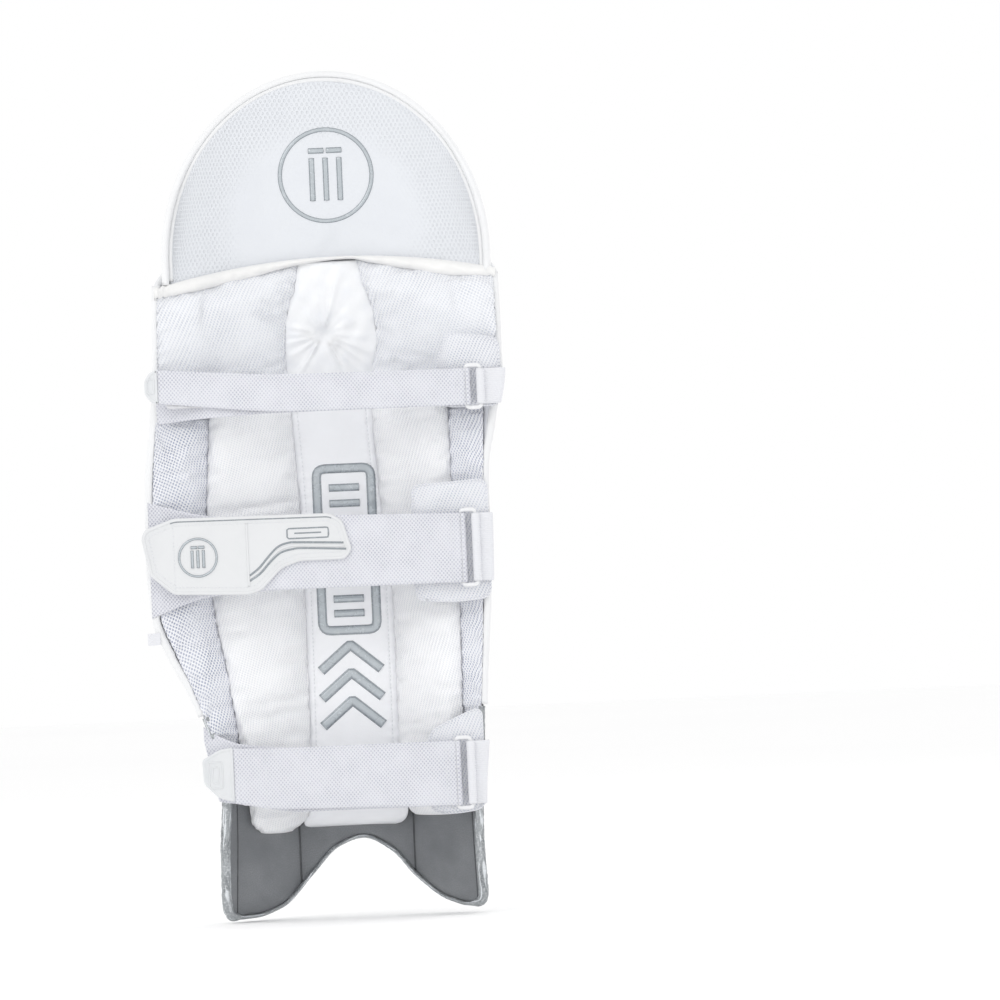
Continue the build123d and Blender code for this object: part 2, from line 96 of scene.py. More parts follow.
# Of each strap: the buckle's near bar, the middle height and width there, the free run's end and its top and bottom
# edges, the base's flare on the wing and the cushion as (x, top, bottom), the cushion's y and the hook patch's x
STRAPS = {
    "knee": dict(
        bar_x=109, middle=432.5, width=30, end=-143.9,
        top=[(-144, 456.5), (-28, 448.8), (109, 447.5)], bottom=[(-144, 429), (-28, 418), (109, 417.5)],
        flare=[(-146.5, 449, 412), (-112, 450, 415)],
        cushion=[(86, 458, 420), (98, 476, 417), (137, 471, 417)], cushion_y=(-19.2, -9.0), hook=(-138, -60),
    ),
    "calf": dict(
        bar_x=100, middle=300.5, width=57, end=-136,
        top=[(-136, 333), (-31, 332), (100, 329)], bottom=[(-136, 274), (-31, 272), (100, 272)],
        flare=[(-157, 348, 253), (-106, 335, 269)],
        cushion=[(61, 353, 259), (92, 354, 257), (122, 356, 259)], cushion_y=(-19.2, -11.5), hook=(-130, -40),
    ),
    "ankle": dict(
        bar_x=88, middle=115.5, width=53, end=-94.9,
        top=[(-95, 143.5), (-57, 142.2), (88, 142)], bottom=[(-95, 98), (-57, 92), (88, 89)],
        flare=[(-119, 162, 150), (-113, 157.5, 122), (-108, 154.5, 100), (-88, 146.5, 97)],
        cushion=[(66, 149, 84), (84, 158, 83), (110, 169, 86)], cushion_y=(-19.2, -9.8), hook=(-90, -20),
    ),
}
TAB_OUTLINES = {
    "knee": [(-144, 457.5), (-151, 454.5), (-155, 448), (-155, 437.5), (-151, 431.5), (-144, 428)],
    "calf": [
        (-163, 319), (-160, 326), (-136, 334.5), (-7, 333.5), (3, 327), (10, 303), (4, 295), (-33, 295),
        (-48, 290), (-66, 272), (-76, 269), (-138, 271.5), (-157, 288),
    ],
    "ankle": [(-95, 144.5), (-106, 143), (-121, 135), (-120, 115), (-108, 103), (-95, 99)],
}
TAB_CORNERS = {"knee": 2.0, "calf": 4.0, "ankle": 3.0}
CUSHION_BACK = -19.5
RUN_Y, BASE_Y = BAR_Y - FOLD_INSIDE - STRAP / 2, BAR_Y + FOLD_INSIDE + STRAP / 2
FOLD_RADIUS = FOLD_INSIDE + STRAP / 2

# What lies between the skin and a padded piece: the boards in front, the lining behind
FRONT_START, LEG_START, LINING_START = 5.4, 4.9, 0.4
OVERLAP = 0.3
WING_TOP, WING_PAD_TOP, CUP_LOW = 526.0, 415.0, 433.0
FACING_SEAMS = (0.36, 0.68)
STRIP_SEAM = 5.5

# Each look's material by its name, and every finished mesh by its piece's name
LOOKS, PIECES, GRIDS, PUFFS = {}, {}, {}, []


def steady(xs, ys, at):
    """Monotone cubic interpolation, held flat past both ends."""
    xs, ys = np.asarray(xs, float), np.asarray(ys, float)
    at = np.clip(np.asarray(at, float), xs[0], xs[-1])
    width = np.diff(xs)
    slope = np.diff(ys) / width
    tangent = np.zeros(len(xs))
    tangent[0], tangent[-1] = slope[0], slope[-1]
    same = slope[:-1] * slope[1:] > 0
    with np.errstate(divide="ignore", invalid="ignore"):
        mean = 2 * slope[:-1] * slope[1:] / (slope[:-1] + slope[1:])
    tangent[1:-1] = np.where(same, mean, 0)
    i = np.clip(np.searchsorted(xs, at) - 1, 0, len(width) - 1)
    t = (at - xs[i]) / width[i]
    return (
        ys[i] * (1 + 2 * t) * (1 - t) ** 2 + tangent[i] * width[i] * t * (1 - t) ** 2
        + ys[i + 1] * t * t * (3 - 2 * t) + tangent[i + 1] * width[i] * t * t * (t - 1)
    )


def level(z, column):
    return steady(LEVELS[:, 0], LEVELS[:, column], z)


def outer(z):
    return level(z, 1) + HEM


def inner(z):
    return level(z, 2) - HEM


def half_width(x, z):
    return np.where(np.asarray(x) < 0, -outer(z), inner(z))


def smooth(t):
    t = np.clip(t, 0, 1)
    return t * t * (3 - 2 * t)


def bell(distance, width):
    return np.exp(-(distance / width) ** 2)


def dome(v):
    """A half circle: 1 in the middle, 0 at -1 and 1."""
    return np.sqrt(np.clip(1 - v ** 2, 0, 1))


def ends(distance, reach):
    """A quarter-round swell from 0 at the end to 1 at reach from it."""
    return dome(1 - np.clip(distance / reach, 0, 1))


def wave(at, pitch, phase=0.0):
    return np.sin(at * 2 * math.pi / pitch + phase)


def line(points):
    """A smooth function from a list of (place, value)."""
    places, values = zip(*points)
    return lambda at: steady(places, values, at)


def constant(value):
    """The value as a function, unless it's one already."""
    return value if callable(value) else lambda at: np.full_like(at, value)


def shifted(edge, by):
    return lambda at: edge(at) + by


def roll_edge(index):
    """The seam left of a shin roll."""
    return lambda z: inner(z) * ((index - ROLLS / 2) * ROLL_PITCH)


def boot(x):
    """Height of the cut-out over the boot."""
    return steady(BOOT_ARCH[:, 0], BOOT_ARCH[:, 1], x)


def arch(x, inset_by=0.0):
    """Height of the top hat's arch, pulled in by inset_by."""
    share = np.clip((np.asarray(x) - ARCH_X) / (ARCH_HALF_WIDTH - inset_by), -1, 1)
    return ARCH_Z + (ARCH_HEIGHT - inset_by) * np.sqrt(1 - share ** 2)


def band_top(x):
    return 545.5 - 19.5 * ((np.asarray(x) - 8) / 145) ** 2


def skin(x, z, lift=0.0):
    """Points on the skin, lifted to the front along its normal, or along -Y to the leg."""
    x, z, lift = np.broadcast_arrays(np.asarray(x, float), np.asarray(z, float), np.asarray(lift, float))
    half = half_width(x, z)
    share = np.minimum(abs(x) / half, 1)
    sweep = level(z, 4)
    lift = lift * (1 - (1 - TAPER_TO) * smooth((share - TAPER_FROM) / (1 - TAPER_FROM)))
    slope = -3 * sweep * share ** 2 / half * np.sign(x)
    length = np.sqrt(1 + slope * slope)
    out_x = np.where(lift > 0, -slope / length, 0) * lift
    out_y = np.where(lift > 0, 1 / length, 1) * lift
    return np.stack([x + out_x, level(z, 3) - sweep * share ** 3 + out_y, z], -1)


def ripple(x, z, wavelength, seed):
    """Soft random relief between about -1 and 1, the same on every run."""
    rng, waves = np.random.default_rng(seed), 7
    total = np.zeros(np.broadcast(x, z).shape)
    for _ in range(waves):
        turn, phase = rng.uniform(0, math.pi), rng.uniform(0, 2 * math.pi)
        size = wavelength * rng.uniform(0.7, 1.5)
        total = total + np.sin(2 * math.pi * (x * math.cos(turn) + z * math.sin(turn)) / size + phase)
    return total / math.sqrt(waves)


# ---------------------------------------------------------------- meshes
def unit(vectors):
    return vectors / np.maximum(np.linalg.norm(vectors, axis=-1, keepdims=True), TINY)


def tangents(path, closed=False):
    """Unit vectors along a path."""
    return unit(np.roll(path, -1, 0) - np.roll(path, 1, 0) if closed else np.gradient(path, axis=0))


def lengths(points, axis=0):
    """Each point's distance from the first one, along one axis of a grid of points."""
    steps = np.linalg.norm(np.diff(points, axis=axis), axis=-1)
    return np.insert(np.cumsum(steps, axis), 0, 0, axis)


def cloth_grid(along, up):
    return np.stack(np.broadcast_arrays(along[:, None], up[None, :]), -1).reshape(-1, 2)


def add_mesh(name, points, faces, cloth=None):
    """An object from points in millimetres. cloth holds each point's place on its fabric, in millimetres too."""
    mesh = bpy.data.meshes.new(name)
    mesh.from_pydata((np.asarray(points) * MM).tolist(), [], [list(map(int, f)) for f in faces])
    if cloth is not None:
        flat = np.zeros((len(points), 3))
        flat[:, :2] = np.asarray(cloth).reshape(-1, 2) * MM
        mesh.attributes.new("cloth", "FLOAT_VECTOR", "POINT").data.foreach_set("vector", flat.ravel())
    work = bmesh.new()
    work.from_mesh(mesh)
    bmesh.ops.recalc_face_normals(work, faces=work.faces)
    work.to_mesh(mesh)
    work.free()
    mesh.polygons.foreach_set("use_smooth", [True] * len(mesh.polygons))
    thing = bpy.data.objects.new(f"{name}_soft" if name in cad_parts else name, mesh)
    bpy.context.scene.collection.objects.link(thing)
    PIECES[name] = thing
    return thing


def slab(name, far, near, cloth=None):
    """A closed mesh between two grids of points of the same size."""
    rows, cols = far.shape[:2]
    count = rows * cols
    index = np.arange(count).reshape(rows, cols)
    quads = np.stack([index[:-1, :-1], index[:-1, 1:], index[1:, 1:], index[1:, :-1]], -1).reshape(-1, 4)
    border = np.concatenate([index[0], index[1:, -1], index[-1, -2::-1], index[-2:0:-1, 0]])
    after = np.roll(border, -1)
    walls = np.stack([after, border, border + count, after + count], 1)
    if cloth is None:
        middle = slice(cols // 2, cols // 2 + 1)
        along = lengths(far, 1)
        along += far[:, middle, 0] - along[:, middle]
        cloth = np.stack([along, lengths(far) + far[:1, :, 2]], -1)
    thing = add_mesh(
        name, np.concatenate([far.reshape(-1, 3), near.reshape(-1, 3)]),
        np.concatenate([quads, quads[:, ::-1] + count, walls]), np.concatenate([cloth.reshape(-1, 2)] * 2))
    GRIDS[thing.name] = (rows, cols)
    return thing


def spread(count, power=1.0):
    """Shares from 0 to 1, closer together near both ends."""
    return (1 - power) * np.linspace(0, 1, count) + power * (1 - np.cos(np.linspace(0, math.pi, count))) / 2


def pad(name, left, right, low, high, start, full, across_points, wall, relief, leg=True, step=4.0, crown=(2.4, 0.6),
        low_end=(0.1, 14), high_end=(0.1, 14), corner=0.0):
    """A padded piece on the skin.

    left and right give x at a height, low and high the height at an x; each is a number or a function. wall is
    the height of the sides as a share of full. low_end and high_end are the thickness there, as a share, and
    the reach. relief adds to the thickness, from x, z, the share across and a swell that is 0 at the border.
    """
    left, right, low, high = map(constant, (left, right, low, high))
    s = spread(across_points)

    def end_row(height_at):
        z = height_at(np.zeros(across_points))
        for _ in range(4):
            z = height_at(left(z) + s * (right(z) - left(z)))
        return z

    z0, z1 = end_row(low), end_row(high)
    rows = max(9, int(float(np.max(z1 - z0)) / step) + 9)
    t = spread(rows, 0.5)
    z = z0[None, :] + t[:, None] * (z1 - z0)[None, :]
    l, r = left(z), right(z)
    from_low, from_high = z - z0[None, :], z1[None, :] - z
    if corner:
        pull = corner * (1 - ends(from_low, corner))
        l, r = l + pull, r - pull
    x = l + s[None, :] * (r - l)
    side = (1 - abs(2 * s - 1) ** crown[0]) ** crown[1]
    low_rise, high_rise = ends(from_low, low_end[1]), ends(from_high, high_end[1])
    thick = full * (wall + (1 - wall) * side[None, :])
    thick = thick * (low_end[0] + (1 - low_end[0]) * low_rise) * (high_end[0] + (1 - high_end[0]) * high_rise)
    thick = thick + relief(x, z, s[None, :], side[None, :] * low_rise * high_rise)
    way = -1 if leg else 1
    return slab(name, skin(x, z, way * (start + thick)), skin(x, z, way * start))


def tape(name, path, low, high, thickness, across_points, relief=None):
    """A flat strap along a path of (x, y), between the heights low and high at each point."""
    path = np.asarray(path, float)
    low, high = (np.broadcast_to(height, len(path)).astype(float)[:, None] for height in (low, high))
    tangent = tangents(path)
    normal = np.stack([tangent[:, 1], -tangent[:, 0]], 1)[:, None, :]
    t = spread(across_points, 0.8)[None, :]
    z = low + t * (high - low)
    half = thickness / 2 * (0.5 + 0.5 * ends(np.minimum(t, 1 - t) * (high - low), thickness * 0.9))[..., None]
    middle = path[:, None, :] + normal * (relief(path[:, :1], z) if relief is not None else 0 * z)[..., None]
    far, near = (np.concatenate([middle + way * normal * half, z[..., None]], -1) for way in (1, -1))
    along = lengths(path)
    along += path[-1, 0] - along[-1]
    return slab(name, far, near, np.stack(np.broadcast_arrays(along[:, None], z), -1))


def tube_faces(rows, cols, start=0, closed=False):
    """Quads between rings of points, with a cap on each end unless the tube closes on itself."""
    index = start + np.arange(rows * cols).reshape(rows, cols)
    ahead = np.roll(index, -1, 0)
    quads = np.stack([index, np.roll(index, -1, 1), np.roll(ahead, -1, 1), ahead], -1)
    if closed:
        return quads.reshape(-1, 4).tolist()
    return quads[:-1].reshape(-1, 4).tolist() + [index[0, ::-1].tolist(), index[-1].tolist()]


def sweep(name, path, side, section_of, closed=False):
    """A tube along path. side is a vector, or one at each point. section_of(i) gives points as (along side, across)."""
    path = np.asarray(path, float)
    side = np.broadcast_to(np.asarray(side, float), path.shape)
    tangent = tangents(path, closed)
    side = unit(side - tangent * np.sum(side * tangent, 1)[:, None])
    other = np.cross(tangent, side)
    rings = []
    for i in range(len(path)):
        ring = np.asarray(section_of(i), float)
        rings.append(path[i] + ring[:, :1] * side[i] + ring[:, 1:] * other[i])
    rings = np.array(rings)
    rows, cols = rings.shape[:2]
    around = np.linspace(0, 1, cols, endpoint=False) * 2 * np.sum(np.ptp(rings[0], axis=0))
    faces = tube_faces(rows, cols, closed=closed)
    return add_mesh(name, rings.reshape(-1, 3), faces, cloth_grid(lengths(path), around))


def oval(along_side, along_other, count, power=2.0):
    """A superellipse section."""
    turn = np.linspace(0, 2 * math.pi, count, endpoint=False)
    return np.stack([
        half * np.sign(part) * abs(part) ** (2 / power)
        for half, part in ((along_side, np.cos(turn)), (along_other, np.sin(turn)))], 1)


def arc(x, y, radius, turn):
    """Points on a circle, at the angles in turn."""
    return np.stack([x + radius * np.cos(turn), y + radius * np.sin(turn)], 1)


def resample(points, spacing, closed=False):
    points = np.asarray(points, float)
    if closed:
        points = np.concatenate([points, points[:1]])
    length = lengths(points)
    at = np.linspace(0, length[-1], max(3, int(round(length[-1] / spacing)) + 1))
    if closed:
        at = at[:-1]
    return np.stack([np.interp(at, length, points[:, k]) for k in range(points.shape[1])], 1)


def curved(points):
    """A smooth Catmull-Rom line through the points."""
    points = np.asarray(points, float)
    out = []
    for i in range(len(points) - 1):
        p = [points[min(max(i + k, 0), len(points) - 1)] for k in (-1, 0, 1, 2)]
        for t in np.linspace(0, 1, 8, endpoint=False):
            out.append(0.5 * (
                2 * p[1] + (p[2] - p[0]) * t + (2 * p[0] - 5 * p[1] + 4 * p[2] - p[3]) * t * t
                + (3 * p[1] - p[0] - 3 * p[2] + p[3]) * t ** 3))
    return np.array([*out, points[-1]])


def rounded(points, radius, per=5):
    """A closed outline with its corners rounded."""
    points = np.asarray(points, float)
    out = []
    for i, corner in enumerate(points):
        before, after = points[i - 1] - corner, points[(i + 1) % len(points)] - corner
        r = min(radius, np.linalg.norm(before) / 2.2, np.linalg.norm(after) / 2.2)
        a, b = corner + unit(before) * r, corner + unit(after) * r
        for t in np.linspace(0, 1, per):
            out.append((1 - t) ** 2 * a + 2 * t * (1 - t) * corner + t * t * b)
    return np.array(out)


def rounded_box(left, low, right, high, radius, per=5):
    return rounded([(left, low), (right, low), (right, high), (left, high)], radius, per)


def inset(outline, by):
    """The closed outline moved inwards, whichever way round it runs."""
    after = np.roll(outline, -1, 0)
    tangent = tangents(outline, True)
    area = np.sum(outline[:, 0] * after[:, 1] - after[:, 0] * outline[:, 1])
    return outline + np.stack([-tangent[:, 1], tangent[:, 0]], 1) * np.sign(area) * by


def plate(name, outline, rings, back):
    """A moulded plate. rings are (inset, y) from the leg side's rim to the far face; back is the leg face's y."""
    loops = [np.insert(inset(outline, by), 1, y, axis=1) for by, y in [(0.5, back)] + rings]
    points = np.concatenate(loops)
    thing = add_mesh(name, points, tube_faces(len(loops), len(outline)), points[:, [0, 2]])
    work = bmesh.new()
    work.from_mesh(thing.data)
    bmesh.ops.triangulate(work, faces=[f for f in work.faces if len(f.verts) > 4])
    work.to_mesh(thing.data)
    work.free()
    thing.data.set_sharp_from_angle(angle=math.radians(35))
    return thing


# ---------------------------------------------------------------- things that lie on a finished piece
def surface_of(name):
    """A function from (x, z) arrays to the y where a finished piece is met from the leg side, or the front."""
    mesh = PIECES[name].data
    tree = BVHTree.FromPolygons([v.co.copy() for v in mesh.vertices], [tuple(p.vertices) for p in mesh.polygons])

    def at(x, z, front=False):
        way = 1.0 if front else -1.0
        out = []
        for a, b in zip(np.ravel(x), np.ravel(z)):
            hit = tree.ray_cast(Vector((a * MM, way, b * MM)), Vector((0, -way, 0)))[0]
            out.append(np.nan if hit is None else hit.y / MM)
        out = np.array(out)
        known = ~np.isnan(out)
        out[~known] = np.interp(np.flatnonzero(~known), np.flatnonzero(known), out[known])
        return out.reshape(np.shape(x))

    return at


def ribbon(name, lines, width, height, surface, look, body="pad"):
    """Raised strips along lines of (x, z) on a surface. Each line is (points, closed)."""
    sink, spacing = 0.25, 2.0
    profile = [(-0.5, -sink), (-0.46, 0.55), (-0.3, 0.95), (0, 1), (0.3, 0.95), (0.46, 0.55), (0.5, -sink)]
    points, faces, cloth = [], [], []
    for line_points, closed in lines:
        path = resample(line_points, spacing, closed)
        tangent = tangents(path, closed)
        normal = np.stack([-tangent[:, 1], tangent[:, 0]], 1)
        rings = []
        for share, up in profile:
            p = path + normal * share * width
            rings.append(np.insert(p, 1, surface(p[:, 0], p[:, 1]) - up * height, axis=1))
        faces += tube_faces(len(path), len(profile), len(points), closed)
        points.extend(np.stack(rings, 1).reshape(-1, 3))
        cloth.extend(cloth_grid(np.arange(len(path)) * spacing, np.linspace(0, width, len(profile))))
    return finish_piece(add_mesh(name, points, faces, cloth), look, body)


def stitches(name, lines, surface, body="pad", pitch=3.4, length=2.0, radius=0.3, front=False):
    """Rows of separate stitches along lines of (x, z) on a surface."""
    points, faces = [], []
    shape = [(-0.5, 0.0), (-0.32, 0.8), (0.0, 1.0), (0.32, 0.8), (0.5, 0.0)]
    turns = np.radians(np.arange(0, 360, 60))
    for line_points in lines:
        path = resample(line_points, pitch)
        spots = np.insert(path, 1, surface(path[:, 0], path[:, 1], front), axis=1)
        for spot, along in zip(spots, tangents(spots)):
            out = np.array([0.0, 1.0 if front else -1.0, 0.0])
            out = unit(out - along * np.dot(out, along))
            side = np.cross(along, out)
            base = len(points)
            for share, fat in shape:
                centre = spot + along * share * length + out * radius * (0.5 * fat - 0.1)
                spokes = [(side * math.cos(a) + out * math.sin(a)) * radius * fat for a in turns] if fat else [0]
                points.extend(centre + spoke for spoke in spokes)
            for k in range(6):
                n = (k + 1) % 6
                faces.append([base, base + 1 + k, base + 1 + n])
                for ring in (base + 1, base + 7):
                    faces.append([ring + k, ring + 6 + k, ring + 6 + n, ring + n])
                faces.append([base + 19, base + 13 + n, base + 13 + k])
    return finish_piece(add_mesh(name, points, faces, np.array(points)[:, [0, 2]]), "thread", body)


# ---------------------------------------------------------------- padded fabric, by cloth simulation
def puff(thing, pressure, slack, cap):
    """Lists a slab for the simulation, sewn down all over its under side and round its border. cap is in mm."""
    rows, cols = GRIDS[thing.name]
    border = np.ones((rows, cols), bool)
    border[1:-1, 1:-1] = False
    held = np.flatnonzero(np.concatenate([border.ravel(), np.ones(rows * cols, bool)]))
    PUFFS.append((thing, held, pressure, slack, cap * MM))


def vertices_of(mesh):
    flat = np.zeros(len(mesh.vertices) * 3)
    mesh.vertices.foreach_get("co", flat)
    return flat.reshape(-1, 3)


def run_puffs():
    """Runs every listed piece at once, then stores the result in its mesh with no modifier left."""
    scene = bpy.context.scene
    frames = 20
    for thing, held, pressure, slack, _ in PUFFS:
        group = thing.vertex_groups.new(name="sewn")
        group.add(held.tolist(), 1.0, "REPLACE")
        cloth = thing.modifiers.new("cloth", "CLOTH")
        s = cloth.settings
        s.quality = 5
        s.mass = 0.25
        s.tension_stiffness = s.compression_stiffness = 15
        s.shear_stiffness = 5
        s.bending_stiffness = 0.15
        s.air_damping = 3
        s.shrink_min = -slack
        s.use_pressure = True
        s.uniform_pressure_force = pressure
        s.vertex_group_mass = "sewn"
        s.effector_weights.gravity = 0
        cloth.collision_settings.use_collision = False
        cloth.collision_settings.use_self_collision = False
        cloth.point_cache.frame_start, cloth.point_cache.frame_end = 1, frames
    for number in range(1, frames + 1):
        scene.frame_set(number)
    graph = bpy.context.evaluated_depsgraph_get()
    results = []
    for thing, *_ in PUFFS:
        results.append(vertices_of(thing.evaluated_get(graph).to_mesh()))
        thing.evaluated_get(graph).to_mesh_clear()
    for (thing, _, _, _, cap), new in zip(PUFFS, results):
        old = vertices_of(thing.data)
        move = new - old
        far = np.linalg.norm(move, axis=1)
        scale = np.where(far > TINY, cap * np.tanh(far / cap) / np.maximum(far, TINY), 1)
        thing.modifiers.clear()
        thing.vertex_groups.clear()
        thing.data.vertices.foreach_set("co", (old + move * scale[:, None]).ravel())
        thing.data.update()
    scene.frame_set(1)


# ---------------------------------------------------------------- materials
class Look:
    """A material under construction. Its layers give the look back, so that they can follow each other.

    Sizes and depths are in millimetres, on the cloth or in the object's own space.
    """

    def __init__(self, name, colour, roughness, object_space=False, **sockets):
        self.name = name
        self.material = bpy.data.materials.new(name)
        self.material.use_nodes = True
        self.tree = self.material.node_tree
        self.shader = next(n for n in self.tree.nodes if n.type == "BSDF_PRINCIPLED").inputs
        for key, value in {"Roughness": roughness, **sockets}.items():
            self.shader[key.replace("_", " ")].default_value = value
        self.colour, self.height = (*colour, 1), None
        if object_space:
            place = self.node("TexCoord", output="Object")
        else:
            place = self.node("Attribute", output="Vector", attribute_name="cloth")
        self.at = self.node("VectorMath", {0: place, "Scale": 1 / MM}, operation="SCALE")

    def put(self, socket, value):
        if hasattr(value, "is_output"):
            self.tree.links.new(value, socket)
        else:
            socket.default_value = value

    def node(self, kind, inputs=None, output=0, **settings):
        made = self.tree.nodes.new("ShaderNode" + kind)
        for key, value in settings.items():
            setattr(made, key, value)
        for key, value in (inputs or {}).items():
            self.put(made.inputs[key], value)
        return made.outputs[output]

    def math(self, operation, a, b=0.0):
        return self.node("Math", {0: a, 1: b}, operation=operation)

    def times(self, a, b):
        return self.math("MULTIPLY", a, b)

    def mapped(self, size, stretch=(1, 1, 1)):
        return self.node("Mapping", {0: self.at, "Scale": tuple(k / size for k in stretch)})

    def noise(self, size, detail=3.0, rough=0.55, stretch=(1, 1, 1), distortion=0.0):
        return self.node("TexNoise", {
            "Vector": self.mapped(size, stretch), "Scale": 1.0, "Detail": detail, "Roughness": rough,
            "Distortion": distortion}, "Fac")

    def cells(self, size, feature="F1"):
        return self.node("TexVoronoi", {"Vector": self.mapped(size), "Scale": 1.0}, "Distance", feature=feature)

    def range(self, value, low, high, out_low=0.0, out_high=1.0, kind="SMOOTHSTEP"):
        return self.node("MapRange", {0: value, 1: low, 2: high, 3: out_low, 4: out_high}, interpolation_type=kind)

    def axes(self):
        apart = self.node("SeparateXYZ", {0: self.at}).node
        return apart.outputs[0], apart.outputs[1]

    def wave(self, operation, at, pitch):
        return self.math(operation, self.times(at, 2 * math.pi / pitch))

    def lattice(self, pitch_x, pitch_y, shear=0.0, wobble=0.0):
        """1 at the points of a staggered lattice, -1 between them."""
        x, y = self.axes()
        if wobble:
            x = self.math("ADD", x, self.times(self.math("SUBTRACT", self.noise(9.0, 1.0), 0.5), wobble))
        if shear:
            x = self.math("ADD", x, self.times(y, shear))
        return self.times(self.wave("COSINE", x, pitch_x), self.wave("COSINE", y, 2 * pitch_y))

    def tint(self, share, other):
        """Moves the colour towards other by share."""
        self.colour = self.node("Mix", {0: share, 6: self.colour, 7: (*other, 1)}, 2, data_type="RGBA")
        return self

    def patches(self, size, low, high, share, other, detail=3.0):
        """Moves the colour towards other in soft patches."""
        return self.tint(self.range(self.noise(size, detail), low, high, 0.0, share), other)

    def relief(self, height, depth):
        """Adds a height in millimetres to the surface."""
        scaled = self.times(height, depth)
        self.height = scaled if self.height is None else self.math("ADD", self.height, scaled)
        return self

    def bumps(self, size, depth, *detail, **more):
        return self.relief(self.noise(size, *detail, **more), depth)

    def pebbles(self, size, depth):
        return self.relief(self.range(self.cells(size), 0.1, 0.7), depth)

    def rough(self, share, low, high):
        self.put(self.shader["Roughness"], self.range(share, 0.0, 1.0, low, high, "LINEAR"))
        return self

    def gloss(self, size, low, high, detail=3.0):
        return self.rough(self.noise(size, detail), low, high)

    def done(self):
        self.put(self.shader["Base Color"], self.colour)
        if self.height is not None:
            bump = self.node("Bump", {"Strength": 1.0, "Distance": MM, "Height": self.height})
            self.put(self.shader["Normal"], bump)
        LOOKS[self.name] = self.material


def faded(colour, by):
    return tuple(c * by for c in colour)


def knit(name, colour, hole_shade_colour, pitch, open_from, depth, shear, hole_shade_share):
    """Knitted mesh with rows of small openings, tinted darker in the openings as painted shade."""
    look = Look(name, colour, 0.85, Sheen_Weight=0.2, Sheen_Roughness=0.5, Specular_IOR_Level=0.25)
    hole = look.range(look.lattice(*pitch, shear, wobble=0.7), open_from, min(open_from + 0.6, 1.0))
    hole = look.times(hole, look.range(look.noise(26.0), 0.3, 0.7, 0.55, 1.0))
    look.patches(60.0, 0.35, 0.75, 0.4, faded(colour, 0.945), 4.0)
    # Painted shade: the openings are tinted towards the darker hole shade colour.
    look.tint(look.times(hole, hole_shade_share), hole_shade_colour)
    look.relief(hole, -depth).relief(look.range(look.noise(1.1, 2.0), 0.3, 0.7), 0.08).done()


def coated(name, colour, grain=0.9, roughness=(0.38, 0.55), coat=0.0, crease=0.0):
    """Smooth coated cloth with a fine pebble grain."""
    look = Look(name, colour, 0.45, Coat_Weight=coat, Coat_Roughness=0.35)
    look.pebbles(grain, 0.05).bumps(14.0, 0.25 + crease)
    look.bumps(4.5, 0.04 + 0.7 * crease, 3.0, 0.6, stretch=(1, 0.5, 1), distortion=0.6)
    look.patches(45.0, 0.35, 0.75, 0.5, faded(colour, 0.93), 4.0).gloss(45.0, *roughness, 4.0).done()


def liner_look():
    """Coated cloth, dimpled all round a plain oval, with painted shade darkening the dimples."""
    centre, reach = (-2.0, 575.0), (104.0, 92.0)
    look = Look("liner", (0.722, 0.743, 0.778), 0.42, Coat_Weight=0.1, Coat_Roughness=0.4)
    dimple = look.range(look.lattice(4.2, 3.4), 0.1, 0.8)
    squares = []
    for at, middle, half in zip(look.axes(), centre, reach):
        share = look.math("DIVIDE", look.math("SUBTRACT", at, middle), half)
        squares.append(look.math("POWER", look.math("ABSOLUTE", share), 2.0))
    away = look.math("SQRT", look.math("ADD", *squares))
    dimple = look.times(dimple, look.range(away, 0.62, 0.95))
    look.relief(dimple, -0.45).pebbles(0.8, 0.04).bumps(18.0, 0.35)
    # Painted shade: the dimples are tinted darker; the soft patches after it are the cloth's own tone.
    look.tint(look.times(dimple, 0.16), (0.60, 0.63, 0.68)).patches(50.0, 0.4, 0.8, 0.5, (0.69, 0.71, 0.75))
    look.gloss(30.0, 0.36, 0.52).done()


def woven_looks():
    look = Look("boot_cloth", (0.195, 0.204, 0.216), 0.92, Sheen_Weight=0.08, Sheen_Roughness=0.6,
                Specular_IOR_Level=0.2)
    warp, weft = (look.wave("SINE", at, 0.9) for at in look.axes())
    look.relief(look.times(warp, weft), 0.07).bumps(12.0, 0.5)
    look.tint(look.range(look.noise(0.8), 0.3, 0.75), (0.285, 0.295, 0.308))
    look.patches(35.0, 0.35, 0.7, 0.6, (0.17, 0.178, 0.19), 4.0).done()

    look = Look("webbing", (0.78, 0.785, 0.815), 0.7, Sheen_Weight=0.2)
    picks, ribs = (look.wave("SINE", at, pitch) for at, pitch in zip(look.axes(), (1.1, 1.6)))
    look.relief(ribs, 0.09).relief(look.times(ribs, picks), 0.05)
    # Painted shade: the valleys between the ribs are tinted darker.
    look.tint(look.range(ribs, -1.0, 0.2, 0.35, 0.0), (0.70, 0.72, 0.78))
    look.patches(20.0, 0.4, 0.8, 0.5, (0.79, 0.80, 0.84)).done()

    look = Look("lining_cloth", (0.80, 0.815, 0.85), 0.9, Sheen_Weight=0.2)
    look.relief(look.lattice(1.2, 0.6), 0.06).bumps(15.0, 0.4)
    look.patches(40.0, 0.35, 0.75, 0.6, (0.72, 0.735, 0.78), 4.0).done()


